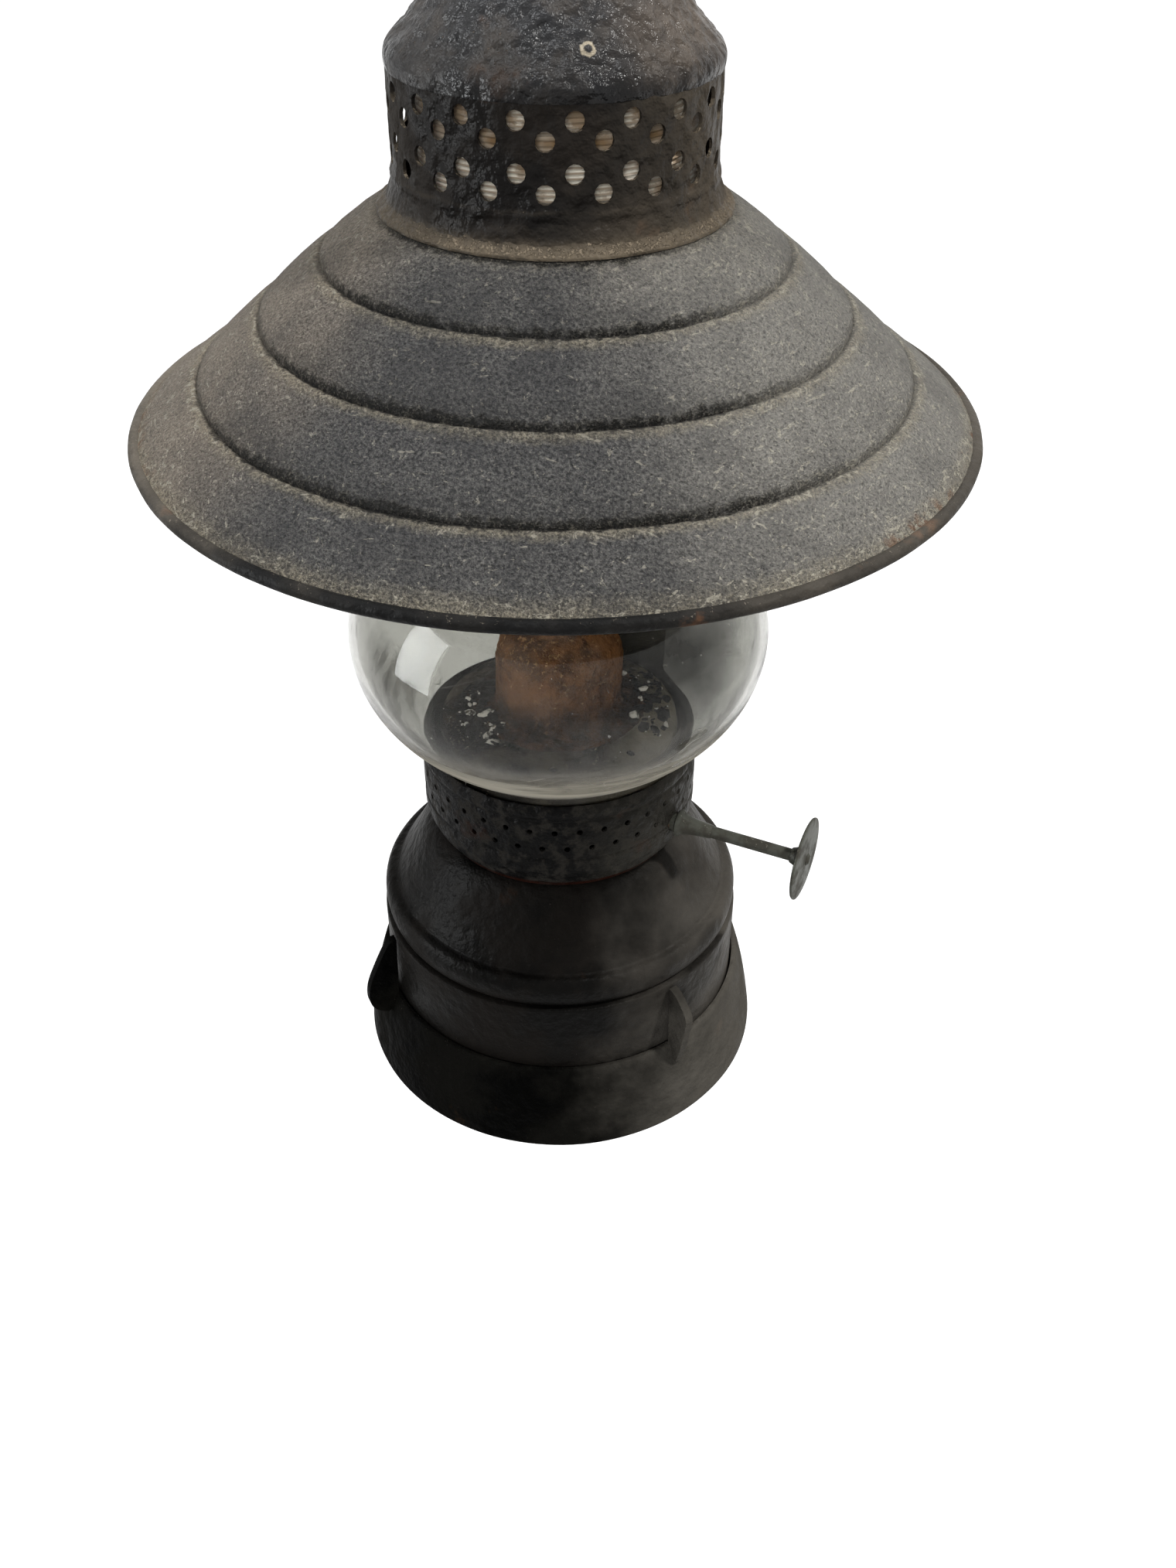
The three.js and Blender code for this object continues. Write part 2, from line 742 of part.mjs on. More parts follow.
// Wick raiser: shaft, two toothed wheels and the hand wheel
function raiserShaft() {
  return piece('raiser_shaft', turnedOnShaft([
    [0, -shaftTail],
    [shaftRadius, -shaftTail],
    [shaftRadius, shaftReach],
    [0, shaftReach + shaftRadius * 0.4],
  ], smallSides, 0), 'oxidised');
}

function sprocketGeometry() {
  const shape = new THREE.Shape();
  for (let i = 0; i < sprocketTeeth * 2; i += 1) {
    const angle = (Math.PI * i) / sprocketTeeth;
    const radius = i % 2 ? sprocketRadius - toothDepth : sprocketRadius;
    const x = radius * Math.cos(angle);
    const y = radius * Math.sin(angle);
    if (i) shape.lineTo(x, y);
    else shape.moveTo(x, y);
  }
  const bore = new THREE.Path();
  bore.absarc(0, 0, shaftRadius + fitGap, 0, 2 * Math.PI, true);
  shape.holes.push(bore);
  const wheel = new THREE.ExtrudeGeometry(shape, {
    depth: sprocketThickness, bevelEnabled: false, curveSegments: holeSides,
  });
  return wheel.translate(0, 0, -sprocketThickness / 2).rotateX(Math.PI / 2);
}

function sprockets() {
  return [-1, 1].map((side, i) => (
    piece(`sprocket_${i + 1}`, alongShaft(sprocketGeometry(), (side * sprocketSpacing) / 2), 'agedBrass')
  ));
}

function knobWheel() {
  const end = shaftReach - fitGap;
  const start = end - knobHubLength;
  const web = end - knobThickness * 0.4;
  const bore = shaftRadius + fitGap;
  return piece('knob_wheel', turnedOnShaft(ringProfile([
    [bore, start],
    [knobHubRadius * 0.85, start],
    [knobHubRadius, web - knobThickness],
    [knobRadius * 0.95, web - knobThickness * 0.6],
    [knobRadius, web],
    [knobRadius * 0.95, web + knobThickness * 0.2],
    [bore, end],
  ]), tubeSides, 0), 'oxidised');
}

function wick() {
  const strip = new THREE.BoxGeometry(wickWidth, wickThickness, wickLength);
  return piece('wick', alongWick(strip, wickTop - wickLength / 2), 'wickCotton');
}

// Glass globe: an oblate ellipse between its foot and its neck
function ellipseRun(a, b, lowRadius, highRadius, steps) {
  const low = -Math.acos(lowRadius / a);
  const high = Math.acos(highRadius / a);
  const run = [];
  for (let i = 0; i <= steps; i += 1) {
    const t = low + ((high - low) * i) / steps;
    run.push([a * Math.cos(t), globeCentre + b * Math.sin(t)]);
  }
  return run;
}

function globe() {
  const footInner = globeFootRadius - globeFootWall;
  const neckInner = neckRadius - glassWall;
  const outer = ellipseRun(globeRadius, globeHalfHeight, globeFootRadius, neckRadius, 10);
  const inner = ellipseRun(globeRadius - glassWall, globeHalfHeight - glassWall, footInner, neckInner, 7);
  return piece('globe', turned(ringProfile([
    [footInner, globeFoot],
    [globeFootRadius, globeFoot],
    ...outer,
    [neckRadius, neckTop],
    [neckInner, neckTop],
    ...inner.reverse(),
  ]), bodySides), 'glass');
}

// Hood
function shadeRun(offset, steps, bulge) {
  const edge = rimWireRadius + fitGap;
  const rimEdge = shadeRadius - rimWireRadius - edge * 0.785;
  const radii = [rimEdge, ...creaseRadiusShares.map((s) => s * shadeRadius)];
  const heights = [edge * 0.62, ...creaseHeightShares.map((s) => s * shadeHeight)];
  radii.push(crownFootRadius + fitGap);
  heights.push(shadeHeight - shadeWall / 2);
  const run = [];
  for (let tier = 0; tier < radii.length - 1; tier += 1) {
    const dr = radii[tier + 1] - radii[tier];
    const dz = heights[tier + 1] - heights[tier];
    const length = Math.hypot(dr, dz);
    for (let i = 0; i < steps; i += 1) {
      const t = i / steps;
      const lift = offset + bulge * 4 * t * (1 - t) - (tier && !i ? creaseStep : 0);
      const r = radii[tier] + dr * t + (lift * dz) / length;
      run.push([r, rimHeight + heights[tier] + dz * t - (lift * dr) / length]);
    }
  }
  return run;
}

function shade() {
  const half = shadeWall / 2;
  const top = crownFootRadius + fitGap;
  const bore = top - shadeLip;
  return piece('shade', turned(ringProfile([
    ...shadeRun(half, 2, tierBulge),
    [top, shadeTop],
    [bore, shadeTop],
    [bore, shadeTop - shadeWall],
    [top - half, shadeTop - shadeWall],
    ...shadeRun(-half, 1, 0).reverse(),
  ]), shadeSides), 'paintedSteel');
}

function rimWire() {
  const centre = shadeRadius - rimWireRadius;
  const points = [];
  for (let i = 0; i < rimWireSides; i += 1) {
    const angle = (2 * Math.PI * i) / rimWireSides;
    points.push([centre + rimWireRadius * Math.cos(angle), rimHeight + rimWireRadius * Math.sin(angle)]);
  }
  return piece('rim_wire', turned(ringProfile(points), shadeSides), 'paintedSteel');
}

function crown() {
  const bandFoot = crownFoot + crownFootHeight;
  const inner = crownRadius - crownWall;
  const sides = 2 * crownHolesPerRow;
  const band = turned(ringProfile([
    [crownFootRadius, crownFoot],
    [crownRadius + crownFootSpread * 0.3, crownFoot + crownFootHeight * 0.45],
    [crownRadius, bandFoot],
    [crownRadius, crownTop],
    [inner, crownTop],
    [inner, bandFoot],
    [inner + crownFootSpread * 0.6, crownFoot],
  ]), sides, crownPhase - 180 / sides);
  const holes = [];
  crownRowShares.forEach((share, row) => {
    for (let i = 0; i < crownHolesPerRow; i += 1) {
      const azimuth = crownPhase + ((i + (row % 2 ? 0 : 0.5)) * 360) / crownHolesPerRow;
      holes.push(radialHole(crownHoleRadius, crownRadius, crownFoot + crownHeight * share, azimuth, 5));
    }
  });
  return piece('crown', cut(band, holes), 'crustedSteel');
}

function dome() {
  const shares = [
    [1.004, 0], [0.975, 0.03], [0.87, 0.19], [0.76, 0.4], [0.58, 0.69], [0.36, 0.9],
  ];
  const outer = shares.map(([r, z]) => [crownRadius * r, domeFoot + domeHeight * z]);
  const inner = [2, 3, 4, 5].map((i) => [outer[i][0] - crownWall, outer[i][1] - crownWall / 2]);
  const sides = 2 * crownHolesPerRow;
  return piece('dome', turned([
    [0, domeFoot + domeHeight - crownWall],
    ...inner.reverse(),
    [crownRadius - crownWall, domeFoot],
    ...outer,
    [0, domeFoot + domeHeight],
  ], sides, crownPhase - 180 / sides), 'crustedSteel');
}

function draftTube() {
  const ribRoot = draftRadius - ribDepth;
  const ribFoot = draftTop - ribCount * ribPitch - ribPitch;
  const inner = ribRoot - draftWall;
  const points = [[inner, draftBottom], [draftRadius, draftBottom], [draftRadius, ribFoot]];
  for (let i = 0; i < ribCount; i += 1) {
    points.push([ribRoot, ribFoot + ribPitch * (i + 0.5)]);
    points.push([draftRadius, ribFoot + ribPitch * (i + 1)]);
  }
  points.push([draftRadius, draftTop], [inner, draftTop]);
  return piece('draft_tube', turned(ringProfile(points), tubeSides), 'liner');
}

function crownFloor() {
  const low = shadeTop - shadeWall;
  const bore = draftRadius + fitGap;
  return piece('crown_floor', turned(ringProfile([
    [bore, low],
    [crownFootRadius - shadeLip, low],
    [crownFootRadius - shadeLip, shadeTop],
    [bore + shadeWall, shadeTop],
    [bore, shadeTop + 3 * shadeWall],
  ]), tubeSides), 'crustedSteel');
}

function seatRing() {
  const low = neckTop + fitGap;
  const bore = draftRadius + fitGap;
  return piece('seat_ring', turned(ringProfile([
    [bore, low],
    [bore + seatRingWidth, low],
    [bore + seatRingWidth, low + shadeWall],
    [bore + 2 * shadeWall, low + shadeWall],
    [bore, low + seatRingRise],
  ]), tubeSides), 'liner');
}

const lamp = new THREE.Group();
lamp.add(bracketStrap(), bracketBrace(), ...braceRivets(), ...holderRivets(), holder());
lamp.add(fontDrum(), fontShoulder(), fontBottomDisc(), fontCollar());
lamp.add(burnerDrum(), burnerBase(), galleryPan(), ...gallerySprings(), wickTube(), burnerCone());
lamp.add(shaftBush(), shaftBearing(), raiserShaft(), ...sprockets(), knobWheel(), wick());
lamp.add(globe());
lamp.add(shade(), rimWire(), crown(), dome(), draftTube(), crownFloor(), seatRing());
lamp.position.set(0, -wallDistance, -lampHeight);

const part = new THREE.Group();
part.add(lamp);

export default part;
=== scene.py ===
"""Wall-mounted oil lamp: the visual model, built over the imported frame.

Sizes are millimetres in the lamp's own frame: its axis stands at x = y = 0, its holder's foot at
z = 0 and the front looks along -Y. Azimuths run from the front towards +X, in degrees.
"""

import logging
import math
from collections.abc import Sequence
from dataclasses import dataclass
from enum import Enum

import bmesh
import bpy
from mathutils import Matrix, Vector, noise

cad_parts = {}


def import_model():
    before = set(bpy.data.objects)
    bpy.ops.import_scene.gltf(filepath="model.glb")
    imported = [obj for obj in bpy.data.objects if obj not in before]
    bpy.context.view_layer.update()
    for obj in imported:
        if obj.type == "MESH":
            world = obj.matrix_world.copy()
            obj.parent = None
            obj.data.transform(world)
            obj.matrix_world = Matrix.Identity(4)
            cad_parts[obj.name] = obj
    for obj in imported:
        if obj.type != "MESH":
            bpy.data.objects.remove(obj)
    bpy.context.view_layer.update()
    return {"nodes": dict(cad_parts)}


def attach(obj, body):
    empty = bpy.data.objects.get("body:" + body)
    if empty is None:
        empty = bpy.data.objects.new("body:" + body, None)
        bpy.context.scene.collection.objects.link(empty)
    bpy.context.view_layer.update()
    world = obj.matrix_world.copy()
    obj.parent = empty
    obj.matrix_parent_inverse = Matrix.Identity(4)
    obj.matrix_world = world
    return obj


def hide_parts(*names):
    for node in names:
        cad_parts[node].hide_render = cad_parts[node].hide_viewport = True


LOG = logging.getLogger("oil_lamp")
AXIS_Y = -0.130
FOOT_Z = -0.053
LAMP = Matrix.Translation((0.0, AXIS_Y, FOOT_Z)) @ Matrix.Scale(0.001, 4)
WELD = 1e-4  # millimetres
SLIVER = 2e-7  # metres
SHARP = 38.0  # degrees
UP = Vector((0.0, 0.0, 1.0))
LAID = Matrix.Rotation(math.pi / 2, 4, "X")

Point = tuple[float, float]
Triple = tuple[float, float, float]
Colour = Triple
Span = tuple[float, float]
Shape = bmesh.types.BMesh
Piece = bpy.types.Object
Finish = bpy.types.Material
Node = bpy.types.Node
Socket = bpy.types.NodeSocket
Sockets = bpy.types.NodeOutputs
Value = Socket | float

WHITE = (1.0, 1.0, 1.0)
EVEN = (1.0, 1.0, 1.0)


class Body(Enum):
    """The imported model's bodies that the pieces ride on."""

    BRACKET = "bracket"
    FONT = "font"
    BURNER = "burner"
    KNOB = "knob"
    WICK = "wick"
    GLOBE = "globe"
    HOOD = "hood"


class Slot(Enum):
    """The material slots."""

    BRACKET_IRON = "bracket_iron"
    HOLDER_IRON = "holder_iron"
    FONT_METAL = "font_metal"
    AGED_BRASS = "aged_brass"
    OXIDISED_BRASS = "oxidised_brass"
    RUSTED_STEEL = "rusted_steel"
    WICK_COTTON = "wick_cotton"
    CLEAR_GLASS = "clear_glass"
    SHADE_STEEL = "shade_steel"
    CROWN_STEEL = "crown_steel"
    LINER_TIN = "liner_tin"


class Effect(Enum):
    """The shader effects that several finishes share."""

    GRAIN = "dust_grain"
    BLOTCH = "blotches"
    CRUST = "crust_height"
    HAIRLINE = "hairlines"
    RING = "ring_place"
    BAND = "height_band"


# ---------------------------------------------------------------- shaping


def soften(points: Sequence[Point], rounds: int = 2) -> list[Point]:
    """Rounds the corners of an open profile by cutting them, with its ends kept.

    Args:
        points: the profile's corners.
        rounds: how often the corners are cut.

    Returns:
        The rounded profile.
    """
    run = list(points)
    for _ in range(rounds):
        cut = [run[0]]
        for (r0, z0), (r1, z1) in zip(run, run[1:]):
            cut.append((0.75 * r0 + 0.25 * r1, 0.75 * z0 + 0.25 * z1))
            cut.append((0.25 * r0 + 0.75 * r1, 0.25 * z0 + 0.75 * z1))
        run = cut + [run[-1]]
    return run


def welded(bm: Shape, distance: float) -> None:
    """Merges corners that lie within a distance and drops what that flattens."""
    bmesh.ops.remove_doubles(bm, verts=bm.verts, dist=distance)
    bmesh.ops.dissolve_degenerate(bm, edges=bm.edges, dist=distance)


def turned(profile: Sequence[Point], steps: int, closed: bool = True) -> Shape:
    """Spins a profile of (radius, height) once about the Z axis.

    Args:
        profile: the corners of the section, from the front of the turn.
        steps: the number of steps round the axis.
        closed: whether the profile's last corner joins its first.

    Returns:
        The turned shape, faces outwards.
    """
    bm = bmesh.new()
    corners = [bm.verts.new((0.0, -radius, height)) for radius, height in profile]
    followers = corners[1:] + corners[:1] if closed else corners[1:]
    edges = [bm.edges.new(pair) for pair in zip(corners, followers)]
    bmesh.ops.spin(bm, geom=corners + edges, cent=(0, 0, 0), axis=(0, 0, 1), dvec=(0, 0, 0),
                   angle=math.tau, steps=steps, use_merge=True)
    welded(bm, WELD)
    bmesh.ops.recalc_face_normals(bm, faces=bm.faces)
    return bm


def plate(outline: Sequence[Point], thickness: float, bevel: float, segments: int = 2) -> Shape:
    """Extrudes an outline in the (y, z) plane along X and bevels its long edges.

    Args:
        outline: the corners as (y, z).
        thickness: the length along X, centred.
        bevel: the width of the edge bevel.
        segments: the bevel's segments.

    Returns:
        The plate, faces outwards.
    """
    bm = bmesh.new()
    face = bm.faces.new([bm.verts.new((-thickness / 2, y, z)) for y, z in outline])
    grown = bmesh.ops.extrude_face_region(bm, geom=[face])
    far = [item for item in grown["geom"] if isinstance(item, bmesh.types.BMVert)]
    bmesh.ops.translate(bm, verts=far, vec=(thickness, 0, 0))
    bmesh.ops.recalc_face_normals(bm, faces=bm.faces)
    rims = [edge for edge in bm.edges if abs(edge.verts[0].co.x - edge.verts[1].co.x) < 1e-6]
    bmesh.ops.bevel(bm, geom=rims, offset=bevel, offset_type="OFFSET", segments=segments, profile=0.5,
                    affect="EDGES", clamp_overlap=True, material=-1)
    welded(bm, WELD)
    return bm


def rods(places: Sequence[tuple[Vector, Vector]], radius: float, length: float, sides: int) -> Shape:
    """Makes one round cutter at each place.

    Args:
        places: the middle and the direction of each cutter.
        radius: the cutters' radius.
        length: the cutters' length.
        sides: the sides of each cutter.

    Returns:
        All the cutters in one mesh.
    """
    bm = bmesh.new()
    for middle, direction in places:
        turn = UP.rotation_difference(direction).to_matrix().to_4x4()
        bmesh.ops.create_cone(bm, cap_ends=True, segments=sides, radius1=radius, radius2=radius,
                              depth=length, matrix=Matrix.Translation(middle) @ turn)
    return bm


def about_axis(azimuth: float) -> Matrix:
    """Returns the turn about the lamp's axis to an azimuth in degrees."""
    return Matrix.Rotation(math.radians(azimuth), 4, "Z")


def radial_place(radius: float, height: float, azimuth: float) -> tuple[Vector, Vector]:
    """Gives a point on a wall and the direction outwards there.

    Args:
        radius: the wall's radius.
        height: the point's height.
        azimuth: the point's azimuth in degrees.

    Returns:
        The point and the outward direction.
    """
    out = about_axis(azimuth) @ Vector((0, -1, 0))
    return out * radius + Vector((0, 0, height)), out


def hole_rows(radius: float, heights: Sequence[float], count: int, shifts: Span,
              phase: float = 0.0) -> list[tuple[Vector, Vector]]:
    """Gives the places of rows of holes in a round wall.

    Args:
        radius: the wall's radius.
        heights: the height of each row.
        count: the holes of each row.
        shifts: the turn of the even and of the odd rows, in steps between two holes.
        phase: the azimuth where the rows start, in degrees.

    Returns:
        Each hole's middle and direction.
    """
    step = 360 / count
    return [radial_place(radius, height, phase + (i + shifts[row % 2]) * step)
            for row, height in enumerate(heights) for i in range(count)]


def dented(bm: Shape, depth: float, spread: float, seed: float) -> Shape:
    """Moves a thin wall in and out from the axis by smooth noise, as worn sheet metal lies.

    Args:
        bm: the shape, in millimetres.
        depth: the largest move.
        spread: the size of one dent.
        seed: sets one piece's dents apart from another's.

    Returns:
        The same shape.
    """
    for vert in bm.verts:
        reach = math.hypot(vert.co.x, vert.co.y)
        if reach > 1:
            push = noise.noise(vert.co / spread + Vector((seed, seed * 0.7, 0))) * depth
            vert.co += Vector((vert.co.x, vert.co.y, 0)) * (push / reach)
    return bm


def placed(name: str, data: bpy.types.ID) -> Piece:
    """Makes an object of a mesh, a camera or a light and puts it in the scene."""
    obj = bpy.data.objects.new(name, data)
    bpy.context.scene.collection.objects.link(obj)
    return obj


def made(name: str, bm: Shape, sharp: float = SHARP) -> Piece:
    """Turns a shape in lamp millimetres into an object in the frame's metres.

    Args:
        name: the piece's name.
        bm: the shape; it is freed.
        sharp: the angle in degrees past which an edge stays sharp.

    Returns:
        The new object, at the origin.
    """
    for face in bm.faces:
        face.smooth = True
    bm.transform(LAMP)
    mesh = bpy.data.meshes.new(name)
    bm.to_mesh(mesh)
    bm.free()
    mesh.set_sharp_from_angle(angle=math.radians(sharp))
    return placed(name, mesh)


def cleaned(mesh: bpy.types.Mesh) -> None:
    """Splits a cut mesh into triangles, without the flat and the doubled slivers that a cut leaves.

    Args:
        mesh: the mesh, in metres.
    """
    bm = bmesh.new()
    bm.from_mesh(mesh)
    welded(bm, SLIVER)
    bmesh.ops.triangulate(bm, faces=bm.faces)
    twins: dict[frozenset[int], list[bmesh.types.BMFace]] = {}
    for face in bm.faces:
        twins.setdefault(frozenset(vert.index for vert in face.verts), []).append(face)
    doubled = [face for faces in twins.values() if len(faces) > 1 for face in faces]
    bmesh.ops.delete(bm, geom=doubled, context="FACES")
    bm.to_mesh(mesh)
    bm.free()


def bored(obj: Piece, cutter: Shape) -> Piece:
    """Cuts a shape out of a piece and keeps the result as the piece's mesh.

    Args:
        obj: the piece.
        cutter: the shape to cut, in lamp millimetres; it is freed.

    Returns:
        The same piece.
    """
    tool = made("cutter", cutter)
    cut = obj.modifiers.new("bore", "BOOLEAN")
    cut.operation = "DIFFERENCE"
    cut.solver = "EXACT"
    cut.object = tool
    bpy.context.view_layer.update()
    graph = bpy.context.evaluated_depsgraph_get()
    mesh = bpy.data.meshes.new_from_object(obj.evaluated_get(graph))
    obj.modifiers.remove(cut)
    whole = obj.data
    obj.data = mesh
    mesh.name = obj.name
    bpy.data.meshes.remove(whole)
    bpy.data.meshes.remove(tool.data)
    cleaned(mesh)
    mesh.set_sharp_from_angle(angle=math.radians(SHARP))
    return obj


def joined(shapes: Sequence[Shape]) -> Shape:
    """Puts several shapes into one mesh.

    Args:
        shapes: the shapes; they are freed.

    Returns:
        One shape that holds them all.
    """
    whole = bmesh.new()
    for shape in shapes:
        mesh = bpy.data.meshes.new("part")
        shape.to_mesh(mesh)
        shape.free()
        whole.from_mesh(mesh)
        bpy.data.meshes.remove(mesh)
    return whole


# ---------------------------------------------------------------- shader sheets


@dataclass
class Sheet:
    """A node tree with short calls for its nodes and links."""

    tree: bpy.types.NodeTree

    def feed(self, node: Node, feeds: dict) -> Node:
        """Links or sets a node's inputs.

        Args:
            node: the node.
            feeds: a value or a socket for each input, by name or number.

        Returns:
            The same node.
        """
        for key, value in feeds.items():
            if isinstance(value, Socket):
                self.tree.links.new(value, node.inputs[key])
            else:
                node.inputs[key].default_value = value
        return node

    def node(self, kind: str, feeds: dict | None = None, **settings: object) -> Node:
        """Adds a node of a kind, with its own properties set before its inputs."""
        new = self.tree.nodes.new(kind)
        for key, value in settings.items():
            setattr(new, key, value)
        return self.feed(new, feeds or {})

    def math(self, operation: str, first: Value, second: Value = 0.0, clamp: bool = False) -> Socket:
        """Adds a Math node and returns its result."""
        feeds = {0: first, 1: second}
        return self.node("ShaderNodeMath", feeds, operation=operation, use_clamp=clamp).outputs[0]

    def times(self, first: Value, second: Value) -> Socket:
        """Multiplies two values."""
        return self.math("MULTIPLY", first, second)

    def plus(self, first: Value, second: Value, clamp: bool = False) -> Socket:
        """Adds two values."""
        return self.math("ADD", first, second, clamp)

    def minus(self, first: Value, second: Value) -> Socket:
        """Takes the second value from the first."""
        return self.math("SUBTRACT", first, second)

    def most(self, first: Value, second: Value) -> Socket:
        """Returns the larger of two values."""
        return self.math("MAXIMUM", first, second)

    def mix(self, share: Value, first: Socket | Colour, second: Socket | Colour) -> Socket:
        """Mixes two colours by a share and returns the result."""
        first, second = (value if isinstance(value, Socket) else (*value, 1.0) for value in (first, second))
        return self.node("ShaderNodeMix", {0: share, 6: first, 7: second}, data_type="RGBA").outputs[2]

    def remap(self, value: Value, low: Value, high: Value, floor: float = 0.0, top: float = 1.0) -> Socket:
        """Maps a value smoothly from low..high to floor..top, held at both ends."""
        feeds = {"Value": value, "From Min": low, "From Max": high, "To Min": floor, "To Max": top}
        return self.node("ShaderNodeMapRange", feeds, interpolation_type="SMOOTHSTEP").outputs[0]

    def profile(self, value: Value, stops: Sequence[Point]) -> Socket:
        """Looks a value up on a curve.

        Args:
            value: the place on the curve, 0 to 1.
            stops: pairs of place and height, in order.

        Returns:
            The height there.
        """
        ramp = self.node("ShaderNodeValToRGB", {0: value})
        elements = ramp.color_ramp.elements
        while len(elements) < len(stops):
            elements.new(0.5)
        for element, (place, height) in zip(elements, stops):
            element.position = place
            element.color = (height, height, height, 1.0)
        return ramp.outputs[0]

    def noise(self, place: Socket, scale: Value, detail: float = 4.0, rough: float = 0.55) -> Socket:
        """Adds a noise texture and returns its value."""
        feeds = {"Vector": place, "Scale": scale, "Detail": detail, "Roughness": rough}
        return self.node("ShaderNodeTexNoise", feeds).outputs[0]

    def swing(self, place: Socket, scale: float, width: float) -> Socket:
        """Returns noise that swings to both sides of zero."""
        return self.times(self.minus(self.noise(place, scale), 0.5), width)

    def parts(self, vector: Socket) -> Sockets:
        """Splits a vector and returns its three parts."""
        return self.node("ShaderNodeSeparateXYZ", {0: vector}).outputs

    def effect(self, effect: Effect, place: Socket, **feeds: Value) -> Sockets:
        """Places one of the shared effects and returns its outputs."""
        group = bpy.data.node_groups[effect.value]
        return self.node("ShaderNodeGroup", {"Coordinates": place} | feeds, node_tree=group).outputs

    def patches(self, place: Socket, scale: float, span: Span) -> Socket:
        """Returns soft-edged patches between two levels of noise."""
        return self.effect(Effect.BLOTCH, place, Scale=scale, Low=span[0], High=span[1])[0]

    def band(self, place: Socket, height: float, width: float) -> Socket:
        """Returns a soft band round the lamp at one height."""
        return self.effect(Effect.BAND, place, Height=height, Width=width)[0]

    def mapped(self, place: Socket, scale: Triple, turn: Triple = (0.0, 0.0, 0.0)) -> Socket:
        """Stretches and turns a pattern's coordinates."""
        return self.node("ShaderNodeMapping", {"Vector": place, "Scale": scale, "Rotation": turn}).outputs[0]

    def bump(self, shader: Node, height: Value, depth: float) -> None:
        """Feeds a height of about 0 to 1 to the shader's normal, with one unit's depth in metres."""
        relief = self.node("ShaderNodeBump", {"Strength": 1.0, "Distance": depth, "Height": height})
        self.feed(shader, {"Normal": relief.outputs[0]})


